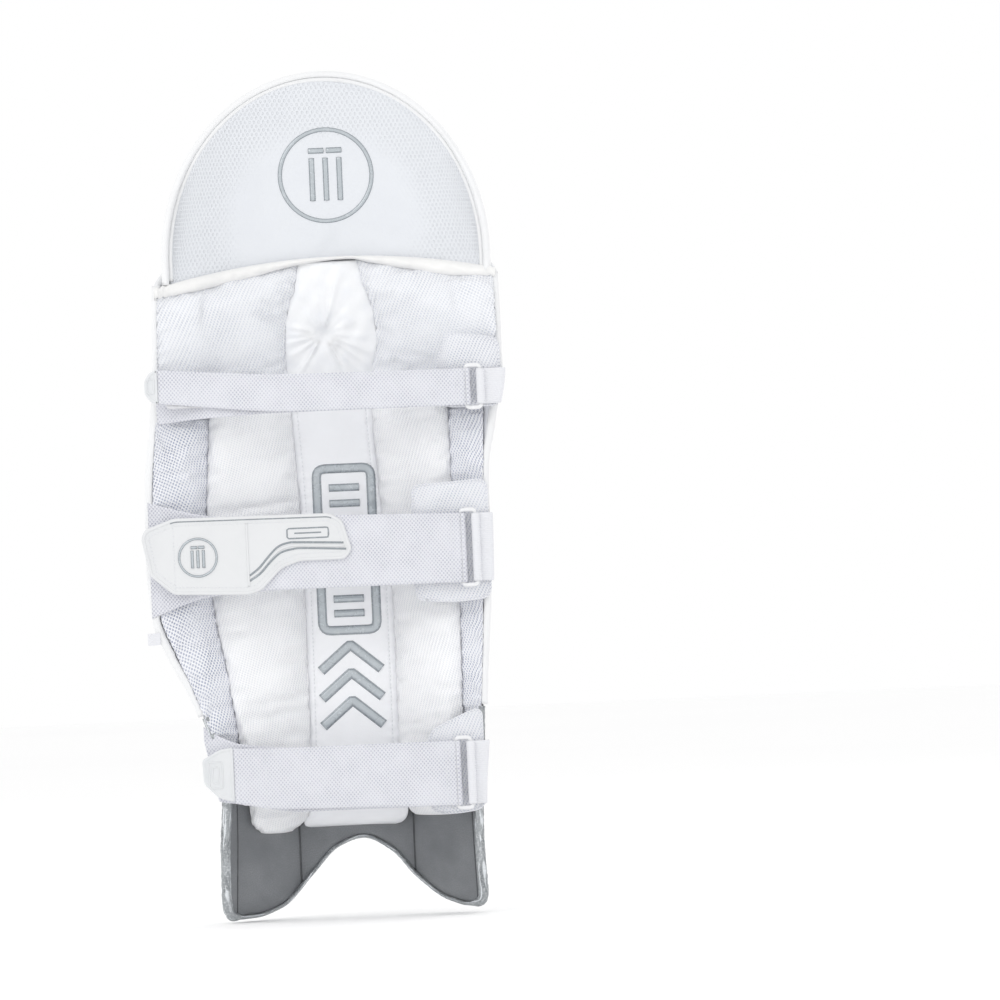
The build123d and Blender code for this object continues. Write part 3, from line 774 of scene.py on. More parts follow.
def silver_tape_look():
    """Crinkled foil cloth with painted highlights as bright streaks and flecks, and painted shade as darker patches."""
    look = Look("silver_tape", (0.36, 0.38, 0.395), 0.3, Metallic=0.5)
    highlight_streak = look.range(look.noise(3.2, 4.0, 0.6, stretch=(0.12, 1, 1), distortion=0.5), 0.53, 0.62)
    glint_fleck = look.range(look.noise(1.7, 3.0, 0.75), 0.53, 0.61)
    shade = look.range(look.noise(6.0, 3.0, stretch=(0.2, 1, 1)), 0.42, 0.68, 0.0, 0.9)
    # Painted shade as darker patches, then painted highlights as bright streaks and flecks.
    look.tint(shade, (0.19, 0.205, 0.215))
    look.tint(look.times(highlight_streak, 0.9), (0.80, 0.83, 0.86)).tint(look.times(glint_fleck, 0.7), (0.90, 0.92, 0.94))
    look.relief(look.range(look.cells(2.4, "DISTANCE_TO_EDGE"), 0.0, 0.22), 0.22).bumps(1.5, 0.5, 4.0, 0.7)
    look.rough(glint_fleck, 0.42, 0.24).done()


def make_looks():
    # The second colour of each knit is the painted shade in its openings.
    knit("knee_mesh", (0.845, 0.857, 0.885), (0.56, 0.60, 0.71), (3.1, 1.95), 0.1, 0.4, 0.35, 0.62)
    knit("shin_mesh", (0.955, 0.96, 0.972), (0.62, 0.65, 0.73), (2.6, 1.6), 0.0, 0.28, 0.5, 0.5)
    knit("open_mesh", (0.885, 0.896, 0.935), (0.34, 0.38, 0.54), (3.1, 2.0), 0.1, 0.65, 0.3, 0.9)
    knit("cushion_mesh", (0.80, 0.81, 0.845), (0.46, 0.50, 0.62), (2.9, 1.9), 0.15, 0.5, 0.3, 0.7)
    knit("strap_knit", (0.752, 0.76, 0.806), (0.48, 0.49, 0.58), (3.0, 1.75), 0.05, 0.45, 0.0, 0.8)
    coated("face", (0.765, 0.775, 0.79), coat=0.15, roughness=(0.4, 0.55), crease=0.35)
    coated("binding", (0.82, 0.826, 0.835), grain=0.7)
    coated("strip", (0.90, 0.91, 0.935), coat=0.2, roughness=(0.3, 0.42))
    liner_look()
    woven_looks()
    silver_tape_look()

    for name, colour, shade in (
        ("satin", (0.86, 0.87, 0.885), (0.79, 0.81, 0.85)),
        ("band_satin", (0.83, 0.828, 0.82), (0.77, 0.77, 0.77)),
    ):
        look = Look(name, colour, 0.3, Sheen_Weight=0.25, Sheen_Roughness=0.35, Anisotropic=0.4)
        look.bumps(0.9, 0.08, 2.0, stretch=(0.15, 1, 1)).bumps(9.0, 0.35, stretch=(1, 0.4, 1))
        look.patches(16.0, 0.4, 0.8, 0.6, shade).gloss(12.0, 0.26, 0.4, 2.0).done()

    for name, colour, shade in (
        ("silver_print", (0.46, 0.50, 0.53), (0.64, 0.67, 0.70)),
        ("silver_edge", (0.27, 0.30, 0.325), (0.44, 0.47, 0.49)),
    ):
        look = Look(name, colour, 0.24, True, Metallic=0.25, Coat_Weight=0.6, Coat_Roughness=0.12)
        look.bumps(5.0, 0.35).patches(7.0, 0.5, 0.85, 0.6, shade, 4.0).gloss(6.0, 0.16, 0.36, 2.0).done()

    look = Look("rubber", (0.72, 0.735, 0.75), 0.36)
    look.bumps(2.2, 0.06).patches(18.0, 0.4, 0.75, 0.5, (0.66, 0.68, 0.70)).gloss(8.0, 0.3, 0.48).done()
    look = Look("patch", (0.72, 0.73, 0.742), 0.4, Coat_Weight=0.15, Coat_Roughness=0.3)
    look.pebbles(0.8, 0.03).bumps(12.0, 0.15)
    look.patches(30.0, 0.4, 0.75, 0.5, (0.675, 0.685, 0.70)).gloss(10.0, 0.34, 0.48).done()
    look = Look("plastic", (0.80, 0.805, 0.82), 0.22, True, Coat_Weight=0.2, Coat_Roughness=0.1)
    look.bumps(3.0, 0.05).patches(11.0, 0.45, 0.8, 0.5, (0.74, 0.75, 0.77)).gloss(4.0, 0.18, 0.34, 4.0).done()
    look = Look("thread", (0.74, 0.755, 0.78), 0.6, True, Sheen_Weight=0.2)
    look.bumps(0.35, 0.05, 2.0).patches(8.0, 0.4, 0.8, 0.6, (0.66, 0.68, 0.72), 2.0).done()
    # Near-black cord for the boot lining's seams: painted shade of the seam grooves.
    look = Look("seam_shade_cord", (0.07, 0.075, 0.08), 0.7, True)
    look.bumps(0.35, 0.05, 2.0).patches(6.0, 0.4, 0.8, 0.7, (0.12, 0.125, 0.13), 2.0).done()

    look = Look("hook_tape", (0.80, 0.80, 0.82), 0.85, Sheen_Weight=0.4)
    tufts = look.cells(0.9)
    look.relief(look.range(tufts, 0.0, 0.5, 1.0, 0.0), 0.5)
    # Painted shade: the tape is tinted darker between the tufts.
    look.tint(look.range(tufts, 0.2, 0.6, 0.0, 0.5), (0.62, 0.63, 0.67)).done()
    look = Look("foam", (0.10, 0.105, 0.11), 0.9, True)
    look.relief(look.cells(0.9), 0.15).patches(10.0, 0.35, 0.75, 0.7, (0.13, 0.135, 0.14), 4.0).done()
    look = Look("cane", (0.50, 0.34, 0.16), 0.55, True)
    fibres = look.noise(2.0, 4.0, stretch=(1, 1, 0.05))
    look.relief(fibres, 0.2).tint(look.range(fibres, 0.35, 0.7), (0.66, 0.50, 0.28)).done()
    look = Look("floor_paint", (0.985, 0.985, 0.985), 0.9, True)
    look.patches(900.0, 0.3, 0.8, 0.5, (0.97, 0.97, 0.972), 2.0).done()


def wear(thing, look):
    thing.data.materials.clear()
    thing.data.materials.append(LOOKS[look])
    return thing


def finish_piece(thing, look, body="pad", nodes=()):
    """Gives a piece its look and body. It replaces nodes, or else the CAD node it's named after."""
    wear(thing, look)
    if body is not None:
        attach(thing, body)
    own = thing.name.removesuffix("_soft")
    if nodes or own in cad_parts:
        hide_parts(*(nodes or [own]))
    return thing


# ---------------------------------------------------------------- front of the pad
def shin_roll_relief(seed):
    def relief(x, z, s, swell):
        seam = np.clip(1.1 - swell, 0, 1)
        folds = 1.2 * ripple(x * 0.3, z, 11, seed + 50) * seam + 0.3 * ripple(x, z * 0.6, 15, seed + 80)
        return swell * (0.6 * ripple(x, z, 70, seed) + folds)

    return relief


def facing_relief(x, z, s, swell):
    seams = sum(bell(s - seam, 0.02) for seam in FACING_SEAMS)
    pulls = sum(bell(s - seam, 0.08) for seam in FACING_SEAMS) * ripple(x * 0.2, z, 9, 72)
    return swell * (0.35 * ripple(x, z, 45, 71) + 0.3 * pulls - 2.2 * seams)


def hat_ribs_relief(x, z, s, swell):
    ribs = np.array([-121, -82, -50, -17, 16, 48, 80, 117], float)
    i = np.clip(np.searchsorted(ribs, x) - 1, 0, len(ribs) - 2)
    middle, half = (ribs[i] + ribs[i + 1]) / 2, (ribs[i + 1] - ribs[i]) / 2
    own = dome((x - middle) / half)
    inside = smooth((arch(x, 14) - z) / 22) * smooth((z - HAT_LOW + 4) / 8) * (abs(x - ARCH_X) < 120)
    return swell * (16 * own * inside + 0.5 * ripple(x, z, 40, 33) + 0.5 * ripple(x * 0.4, z, 12, 34) * (1 - own))


def front():
    above_boot, below_knee = (lambda x: boot(x) + 6.6), KNEE_LOW - 0.8
    for i in range(ROLLS):
        roll = pad(
            f"shin_roll_{i + 1}", shifted(roll_edge(i), -0.2), shifted(roll_edge(i + 1), 0.2), above_boot, below_knee,
            FRONT_START, full=22.6, leg=False, across_points=25, wall=0.22, crown=(2.0, 0.55),
            relief=shin_roll_relief(20 + i))
        puff(roll, pressure=1.5, slack=0.03, cap=2.0)
        finish_piece(roll, "face")

    for name, left, right in (
        ("outer_wing_facing", shifted(outer, 0.6), shifted(roll_edge(0), -0.4)),
        ("inner_wing_facing", shifted(roll_edge(ROLLS), 0.4), shifted(inner, -0.6)),
    ):
        facing = pad(name, left, right, above_boot, below_knee, FRONT_START, full=6.4, leg=False, across_points=61,
                     step=3.5, wall=0.3, crown=(6, 0.6), low_end=(0.3, 6), high_end=(0.3, 6), relief=facing_relief)
        finish_piece(facing, "face")

    tall, gap = (KNEE_HIGH - KNEE_LOW) / 3, 0.2
    u = (spread(61, 0.4) * 2 - 1)[None, :]
    v = np.sin(np.linspace(-1, 1, 19) * math.pi / 2)[:, None]
    tip = ends(1 - abs(u), 0.16)
    for i, name in enumerate(("lower", "middle", "upper")):
        low = KNEE_LOW + i * tall + gap
        high = low + tall - 2 * gap
        z = (low + high) / 2 + v * (high - low) / 2 + 0 * u
        x = u * (half_width(u, z) - 0.6)
        depth = 1.5 + 33 * dome(v) ** 0.9 * (0.25 + 0.75 * tip)
        depth = depth + 0.7 * tip * (ripple(x, z * 2, 60, 90 + i) + ripple(x, z * 0.4, 12, 95 + i) * abs(v))
        roll = slab(f"knee_roll_{name}", skin(x, z, FRONT_START + depth), skin(x, z, FRONT_START))
        finish_piece(roll, "face")

    hat = pad("top_hat_front", -132.3, 128.3, 541.6, lambda x: arch(x, 5.7), FRONT_START, full=3.4, leg=False,
              across_points=141, step=3.5, wall=0.4, crown=(30, 0.5), low_end=(0.4, 4), high_end=(0.3, 4),
              relief=hat_ribs_relief)
    finish_piece(hat, "face", nodes=["top_hat_rolls"])


# ---------------------------------------------------------------- edges
def arch_path(inset_by, low):
    """The top hat's arch as x and z, from the outer foot over the top to the inner foot."""
    turn = np.linspace(-math.pi / 2, math.pi / 2, 120)
    x = ARCH_X + (ARCH_HALF_WIDTH - inset_by) * np.sin(turn)
    z = ARCH_Z + (ARCH_HEIGHT - inset_by) * np.cos(turn)
    foot = np.linspace(low, ARCH_Z, 6, endpoint=False)
    xs = np.concatenate([np.full(6, x[0]), x, np.full(6, x[-1])])
    return resample(np.stack([xs, np.concatenate([foot, z, foot[::-1]])], 1), 3.0)


def hat_edges():
    path = arch_path(3.2, WING_TOP)
    tangent = tangents(path)
    outwards = np.stack([-tangent[:, 1], 0 * tangent[:, 0], tangent[:, 0]], 1)
    wobble = np.convolve(np.random.default_rng(5).normal(0, 1, len(path)), np.ones(5) / 5, "same")

    def welt_section(i):
        return oval(3.2 + 0.12 * wobble[i], 7.0 + 0.2 * wobble[i], 18, 2.6) - [0, 0.5]

    welt = sweep("top_hat_welt", skin(path[:, 0], path[:, 1]) - [0, 1.5, 0], outwards, welt_section)
    finish_piece(welt, "binding")
    path = arch_path(7.5, 530)
    cord = sweep("top_hat_cord", skin(path[:, 0], path[:, 1], -6.0), (0, -1, 0), lambda i: oval(2.4, 1.9, 12))
    finish_piece(cord, "binding")


def wing_edges():
    z = np.linspace(SILVER_TOP, WING_TOP, 110)
    crimp = 1 + 0.05 * ripple(z, 0 * z, 7, 3)
    for name, edge, way, wide, nodes in (
        ("outer_edge_binding", outer, -1, 3.4, ["edge_binding"]), ("inner_edge_binding", inner, 1, 3.2, []),
    ):
        path = skin(edge(z), z)
        path[:, 0] += way * (1.8 + 0.15 * ripple(z, 0 * z, 9, 8))
        binding = sweep(name, path, (way, 0.25, 0), lambda i: oval(wide * crimp[i], 4.3, 16, 2.8))
        finish_piece(binding, "binding", nodes=nodes)


def foot_binding():
    """The silver tape, down one side, along the arch over the boot and up the other side."""
    z = np.linspace(SILVER_TOP - 1, 30, 52)
    x = np.linspace(-86, 79, 60)
    path = resample(np.concatenate([
        np.stack([outer(z) - 0.4, z], 1),
        [(outer(18) - 0.6, 18), (outer(8) + 0.5, 8.5), (-103, 3.6), (-95, 3.0)],
        np.stack([x, boot(x) + 2.4], 1),
        [(90, 6.6), (100, 6.2), (inner(14) - 0.6, 9.6), (inner(20) + 0.4, 18)],
        np.stack([inner(z[::-1]) + 0.4, z[::-1]], 1),
    ]), 1.3)
    longer = np.concatenate([path[:1].repeat(2, 0), path, path[-1:].repeat(2, 0)])
    path = np.stack([np.convolve(longer[:, k], np.ones(5) / 5, "valid") for k in (0, 1)], 1)
    tangent = tangents(path)
    outwards = np.stack([tangent[:, 1], 0 * tangent[:, 0], -tangent[:, 0]], 1)
    share = np.minimum(abs(path[:, 0]) / half_width(path[:, 0], path[:, 1]), 1)
    at_side, away = smooth((share - 0.9) / 0.08), 1 - smooth((share - 0.75) / 0.25)
    wide = 1.7 + 2.4 * at_side * (1 - 0.55 * smooth((path[:, 1] - 118) / 50))
    deep = 3.9 + 3.4 * away
    crinkle = np.random.default_rng(11).normal(0, 1, (len(path), 22))
    crinkle = (crinkle + np.roll(crinkle, 1, 0) + np.roll(crinkle, 1, 1)) / 2.2

    def foil(i):
        return oval(wide[i], deep[i], 22, 2.6) * (1 + 0.05 * crinkle[i][:, None])

    place = skin(path[:, 0], path[:, 1])
    place[:, 1] -= 0.6 * away
    place -= outwards * ((wide - 2.4) * (1 - at_side) * 0.6)[:, None]
    finish_piece(sweep("foot_binding", place, outwards, foil), "silver_tape")


# ---------------------------------------------------------------- leg side
BAND_DEPTH = line([
    (-150, 8), (-144, 8.5), (-107, 12), (-73, 11), (-28, 5.5), (19, 2.8), (32, 5.5), (60, 10), (93, 13), (138, 7)])


def boot_lining():
    seams = [
        shifted(outer, 0.4),
        line([(0, -99), (100, -95), (166, -104)]),
        line([(0, -45), (166, -45)]),
        line([(0, 50), (166, 50)]),
        line([(0, 101), (100, 99), (166, 103)]),
        shifted(inner, -0.4),
    ]
    for i, (left, right) in enumerate(zip(seams, seams[1:])):

        def relief(x, z, s, swell, seed=i):
            seam = np.clip(1 - swell, 0, 1)
            return swell * (0.5 * ripple(x, z, 32, 40 + seed) + 0.5 * ripple(x * 0.4, z, 9, 60 + seed) * seam)

        panel = pad(f"boot_lining_{i + 1}", shifted(left, -0.15), shifted(right, 0.15), lambda x: boot(x) + 3.0,
                    DARK_TOP, LINING_START, full=8.5, across_points=27, step=3, wall=0.08, crown=(2.3, 0.75),
                    low_end=(0.4, 9), high_end=(0.1, 6), relief=relief)
        finish_piece(panel, "boot_cloth", nodes=[] if i else ["boot_lining"])
    # Each inner seam gets a near-black cord, painted shade of the seam's groove.
    for i, seam in enumerate(seams[1:-1]):
        z = np.linspace(float(boot(seam(20.0))) + 4.5, DARK_TOP - 1, 60)
        path = skin(seam(z), z, -1.7 - 0.15 * ripple(z, 0 * z, 14, 30 + i))
        finish_piece(sweep(f"boot_seam_{i + 1}", path, (0, -1, 0), lambda k: oval(0.8, 0.85, 10)), "seam_shade_cord")


def linings():
    left, right = shifted(outer, 0.6), shifted(inner, -0.6)
    for name, low, high in (
        ("shin_lining", DARK_TOP + 0.5, KNEE_LOW - 0.5), ("knee_lining", KNEE_LOW, WING_TOP),
    ):
        lining = pad(name, left, right, low, high, LINING_START, full=3.6, across_points=61, step=8, wall=0.5,
                     crown=(40, 0.5), low_end=(0.5, 3), high_end=(0.5, 3),
                     relief=lambda x, z, s, swell: 0.3 * swell * ripple(x, z, 28, 6))
        finish_piece(lining, "lining_cloth")
        z = np.linspace(low, high, 30)
        rows = skin(np.linspace(left(z), right(z), 60).T, z[:, None])


def top_hat_liner():
    def relief(x, z, s, swell):
        fold = -2.8 * bell(x - 2, 16) * bell(z - 556, 14)
        crease = 1.5 * bell(x - 4 + (z - 556) * 0.5, 5) * bell(z - 560, 12)
        crease += 1.2 * bell(x + 8 - (z - 556) * 0.7, 6) * bell(z - 562, 12)
        return swell * (0.55 * ripple(x, z, 75, 17) + fold + crease + 0.15 * ripple(x, z, 22, 18))

    liner = pad("top_hat_liner", -131.2, 127.2, lambda x: band_top(x) - 5, lambda x: arch(x, 6.0), LINING_START,
                full=9.0, across_points=91, step=3.0, wall=0.4, crown=(12, 0.55), low_end=(0.8, 8), high_end=(0.4, 12),
                relief=relief)
    finish_piece(liner, "liner")


def soft_relief(seed, big=0.6, small=0.8):
    def relief(x, z, s, swell):
        seam = np.clip(1.15 - swell, 0, 1)
        return swell * (big * ripple(x, z, 60, seed) + small * ripple(x * 0.35, z, 10, seed + 1) * seam)

    return relief


def bolster(name, left, right, low, high, full, look, fill, **shape):
    """A puffed piece on the lining."""
    piece = pad(name, left, right, low, high, LEG_START, full, **shape)
    puff(piece, pressure=2.5, slack=0.05, cap=2.5)
    finish_piece(piece, look)


def shin_and_wings():
    shin = dict(high=BOLSTER_TOP, full=22, wall=0.4, look="shin_mesh", crown=(2.8, 0.6), corner=13)
    wing = dict(high=WING_PAD_TOP, wall=0.5, look="open_mesh", crown=(2.6, 0.6))
    for k, (name, left, right, more) in enumerate((
        ("outer_shin_bolster", OUTER_BOLSTER, STRIP_LEFT, dict(shin, low=70.5)),
        ("inner_shin_bolster", STRIP_RIGHT, INNER_BOLSTER, dict(shin, low=80.5)),
        ("outer_wing_pad", OUTER_WING_PAD, OUTER_BOLSTER,
         dict(wing, low=line([(-109, 152.5), (-91, 145.5)]), full=14.5, corner=6)),
        ("inner_wing_pad", INNER_BOLSTER, INNER_WING_PAD, dict(wing, low=163, full=13, corner=4)),
    )):
        bolster(name, shifted(line(left), -OVERLAP), shifted(line(right), OVERLAP), fill=0.75, across_points=35,
                step=3.2, low_end=(0.12, 15), high_end=(0.4, 14), relief=soft_relief(100 + 7 * k), **more)


def centre_strip():
    left, right = line(STRIP_LEFT), line(STRIP_RIGHT)

    def relief(x, z, s, swell):
        from_left, from_right = x - left(z), right(z) - x
        edge_seam = bell(from_left - STRIP_SEAM, 0.9) + bell(from_right - STRIP_SEAM, 0.9)
        pulls = wave(z, 8.5, 1.6 * ripple(x * 0, z, 25, 4)) * bell(np.minimum(from_left, from_right), 9)
        return swell * (-0.9 * edge_seam + 0.9 * pulls + 0.35 * ripple(x, z, 50, 44))

    strip = pad("centre_strip", shifted(left, -OVERLAP), shifted(right, OVERLAP), 74, BOLSTER_TOP, LEG_START,
                full=12.5, across_points=75, step=2.2, corner=9, wall=0.55, crown=(5, 0.6), low_end=(0.15, 9),
                high_end=(0.6, 8), relief=relief)
    finish_piece(strip, "strip")


def knee():
    for k, (name, left, right) in enumerate((
        ("outer_knee_bolster", shifted(outer, -1.0), shifted(line(CUP_LEFT), OVERLAP)),
        ("inner_knee_bolster", shifted(line(CUP_RIGHT), -OVERLAP), shifted(inner, 1.0)),
    )):
        bolster(name, left, right, CUP_LOW, lambda x: band_top(x) - 0.85 * BAND_DEPTH(x), full=21.5,
                look="knee_mesh", fill=0.8, across_points=45, step=3.0, wall=0.45, crown=(3.0, 0.6),
                low_end=(0.4, 14), high_end=(0.4, 24), relief=soft_relief(140 + 9 * k, 0.8, 0.7))

    # Pleats round the tack: (direction in degrees, half width in degrees, height)
    pleats = (
        (74, 5, 1.3), (88, 5, 0.5), (108, 9, 0.7), (130, 8, 0.4), (164, 5, 1.0), (178, 4, 0.7), (192, 5, 1.1),
        (212, 5, 0.9), (236, 5, 1.5), (-62, 5, 1.5), (-48, 4, 0.7), (-36, 4, 0.9), (-22, 5, 0.9), (-4, 6, 0.6),
        (22, 8, 0.5), (44, 7, 0.4),
    )

    def gathered(x, z, s, swell):
        dx, dz = x - TACK[0], z - TACK[1]
        away, turn = np.hypot(dx, dz), np.degrees(np.arctan2(dz, dx))

        def ray(angle, sharp):
            return bell((turn - angle + 180) % 360 - 180, sharp)

        rays = sum(height * ray(angle, sharp) for angle, sharp, height in pleats)
        rays = (rays - 0.5) * 2.6 * smooth(away / 12) * np.exp(-away / 75)
        tongue = ray(-93, 24) * smooth(away / 20)
        return (0.35 + 0.65 * swell) * (rays + 2.6 * tongue - 7.0 * bell(away, 7) + 0.7 * ripple(x, z, 16, 77))

    cup = pad("knee_cup", shifted(line(CUP_LEFT), -OVERLAP), shifted(line(CUP_RIGHT), OVERLAP), CUP_LOW,
              lambda x: band_top(x) - 4, LEG_START, full=15, across_points=91, step=1.3, wall=0.6,
              low_end=(0.5, 10), high_end=(0.7, 16), relief=gathered)
    finish_piece(cup, "satin")


def bolster_band():
    """The satin band over the bolsters, gathered at both ends."""
    x = np.concatenate([
        np.linspace(-144.6, -128, 16, endpoint=False), np.linspace(-128, 124, 110, endpoint=False),
        np.linspace(124, 137.6, 14)])[None, :]
    v = np.sin(np.linspace(-1, 1, 13) * math.pi / 2)[:, None]
    z = band_top(x) - BAND_DEPTH(x) * (1 - v) / 2
    lumps = bell(x + 141, 9) + 0.6 * bell(x - 134, 6)
    gather = lumps * wave(x, 4.2) * 1.5 + lumps * 2.5
    thick = 9 + dome(v) * (6.5 + gather + 0.6 * ripple(x, z, 25, 12) + 0.5 * ripple(x, z, 9, 13))
    z = z + 0.9 * lumps * wave(x, 5.1, 1)
    band = slab("bolster_band", skin(x, z, -LEG_START - thick), skin(x, z, -LEG_START))
    finish_piece(band, "band_satin")


def free_run(name, data):
    def relief(x, z):
        return (0.25 * ripple(x, z, 55, 7) + 0.12 * ripple(x, z, 13, 9)) * smooth((data["bar_x"] - 16 - x) / 20)

    x = np.linspace(data["end"], data["bar_x"], 90)
    path = np.stack([x, np.full_like(x, RUN_Y)], 1)
    run = tape(f"{name}_strap_end", path, line(data["bottom"])(x), line(data["top"])(x), STRAP, 17, relief)
    finish_piece(run, "strap_knit", f"{name}_strap_end")


def strap_fold(name, data):
    """The bend round the buckle's near bar, from the base to the free run."""
    bar, middle, half = data["bar_x"], data["middle"], data["width"] / 2
    path = arc(bar + 0.02, BAR_Y, FOLD_RADIUS, np.linspace(math.pi / 2, -math.pi / 2, 25))
    fold = tape(f"{name}_strap_fold", path, middle - half, middle + half, STRAP, 17)
    finish_piece(fold, "strap_knit", None)
    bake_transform(fold)


def strap_base(name, data):
    """The flared part from the outer wing to the buckle."""
    bar, middle, half, flare = data["bar_x"], data["middle"], data["width"] / 2, data["flare"]
    x0, x1 = flare[0][0], flare[-1][0]
    off_skin, reach = 4.6, 50
    x = np.concatenate([np.linspace(x0, x1, 26, endpoint=False), np.linspace(x1, bar, 80)])
    start_y = float(skin(outer(middle), middle)[1]) - off_skin
    y = start_y + (BASE_Y - start_y) * smooth((x - x0) / (x1 + 14 - x0))
    upper, lower = (
        line([(point[0], point[side]) for point in flare] + [(-40, edge), (bar, edge)])
        for side, edge in ((1, middle + half), (2, middle - half)))
    base = tape(f"{name}_strap_base", np.stack([x, y], 1), lower(x), upper(x), STRAP, 21,
                lambda at, z: 0.5 * ripple(at, z, 22, 15) * (1 - smooth((at - x0 - 40) / 60)))
    finish_piece(base, "strap_knit", None)
    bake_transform(base)


def buckle(name, data):
    bar, middle, tall = data["bar_x"], data["middle"], data["width"] + 1.6
    reach = tall / 2 + 1.6
    loop = rounded_box(bar, middle - reach, bar + BAR_SPACING, middle + reach, 3.4, 9)
    path = np.insert(resample(loop, 1.0, True), 1, BAR_Y, axis=1)
    side = (path - [bar + BAR_SPACING / 2, BAR_Y, middle]) * [1, 0, BAR_SPACING / tall]
    on_rail = smooth((abs(path[:, 2] - middle) - tall / 2 + 1.5) / 2.0)
    thing = sweep(f"{name}_buckle", path, unit(side),
                  lambda i: oval(BAR_RADIUS + 0.25 * on_rail[i], BAR_RADIUS + 0.35 * on_rail[i], 16, 2.3), True)
    finish_piece(thing, "plastic", f"{name}_buckle")


def keeper(name, data):
    """The webbing round the buckle's far bar, which follows the inner wing's slanting edge."""
    thick, past_edge, bend, sewn_length = 1.8, 0.9, 3, 15
    middle, half = data["middle"], (data["width"] - 1) / 2
    centre, radius = data["bar_x"] + BAR_SPACING, BAR_RADIUS + 0.15 + thick / 2
    far_x, run_y = float(max(level(middle - half, 2), level(middle + half, 2))) + past_edge, BAR_Y + radius
    round_bar = arc(centre, BAR_Y, radius, np.linspace(math.pi / 2, math.pi * 2.32, 40))[::-1]
    straight = np.linspace((centre, run_y), (far_x - bend, run_y), 10, endpoint=False)[1:]
    corner = arc(far_x - bend, run_y + bend, bend, np.linspace(-math.pi / 2, 0, 8))
    forward = np.linspace((far_x, run_y + bend), (far_x, run_y + sewn_length), 7)[1:]
    webbing = tape(f"{name}_keeper", np.concatenate([round_bar, straight, corner, forward]), middle - half,
                   middle + half, thick, 15)
    for vertex in webbing.data.vertices:
        gap = far_x - past_edge - float(level(vertex.co.z / MM, 2))
        vertex.co.x -= gap * float(smooth((vertex.co.x / MM - centre - 4) / (far_x - centre - 4))) * MM
    finish_piece(webbing, "webbing")


def cushion(name, data):
    outline, (back, ahead) = data["cushion"], data["cushion_y"]
    top, low = (line([(point[0], point[side]) for point in outline]) for side in (1, 2))
    left, right = outline[0][0], outline[-1][0]
    corner = 7.5
    s, t = spread(33)[None, :], spread(45)[:, None]
    x = left + s * (right - left) + 0 * t
    pull = corner * (1 - ends(np.minimum(t, 1 - t) * (top(x) - low(x)), corner))
    x = left + pull + s * (right - left - 2 * pull)
    z = low(x) + t * (top(x) - low(x))
    side = (1 - abs(2 * s - 1) ** 3.4) ** 0.5 * (1 - abs(2 * t - 1) ** 5.0) ** 0.5
    mid = (back + ahead) / 2
    half = 0.8 + (ahead - back) / 2 * side * (1 + 0.05 * ripple(x, z, 20, 51) + 0.03 * ripple(x, z, 8, 52))
    piece = slab(f"{name}_cushion", np.stack([x, mid - half * (mid - CUSHION_BACK) / half.max(), z], -1),
                 np.stack([x, mid + half, z], -1))
    finish_piece(piece, "cushion_mesh")
    grid = np.stack([x, z], -1)
    rim = resample(np.concatenate([grid[:, 0], grid[-1, 1:], grid[-2::-1, -1], grid[0, -2:0:-1]]), 2.0, True)
    cord = sweep(f"{name}_cushion_cord", np.insert(rim, 1, mid - 0.6, axis=1), (0, 1, 0), lambda i: oval(1.4, 1.3, 10),
                 True)
    finish_piece(cord, "cushion_mesh")


def hook_patch_and_tab(name, data):
    face_y, body = BAR_Y - FOLD_INSIDE, f"{name}_strap_end"
    half = data["width"] / 2 - 7
    outline = rounded_box(data["hook"][0], data["middle"] - half, data["hook"][1], data["middle"] + half, 4)
    patch = plate(f"{name}_hook_patch", outline, [(0, face_y + 0.6), (0, face_y + 2.0), (0.6, face_y + 2.5)], face_y)
    finish_piece(patch, "hook_tape", body)

    if name == "calf":
        look, lying = "patch", face_y - STRAP - 0.05
        rings = [(0.2, 0.3), (0.0, 1.2), (0.3, 2.4), (1.1, 3.0), (2.4, 3.0), (3.0, 2.3), (3.9, 2.15)]
    else:
        look, lying = "rubber", face_y + 0.4
        rings = [(0.2, 0.3), (0.0, 1.0), (0.1, 2.2), (0.8, 2.9), (1.8, 2.9), (2.4, 2.4), (3.0, 2.3)]
    outline = rounded(TAB_OUTLINES[name], TAB_CORNERS[name], 7)
    finish_piece(plate(f"{name}_tab", outline, [(by, lying - out) for by, out in rings], lying), look, body)


# ---------------------------------------------------------------- sewing, prints and emblems
def wicket(x, z, size):
    """Lines of a plain wicket: three stumps under two bails, in a ring."""
    ring = (arc(x, z, size, np.linspace(0, 2 * math.pi, 48, endpoint=False)), True)
    bars = []
    for k in (-1, 0, 1):
        stump = x + k * size * 0.3
        bars.append(([(stump, z - size * 0.55), (stump, z + size * 0.38)], False))
    for k in (-1, 1):
        bail = z + size * 0.54
        bars.append(([(x + k * size * 0.03, bail), (x + k * size * 0.36, bail)], False))
    return [ring], bars


def print_on(name, lines, width, surface, body="pad"):
    """A raised silver print with a darker outline."""
    ribbon(f"{name}_edge", lines, width, 0.55, surface, "silver_edge", body)
    ribbon(name, lines, width * 0.68, 0.95, surface, "silver_print", body)


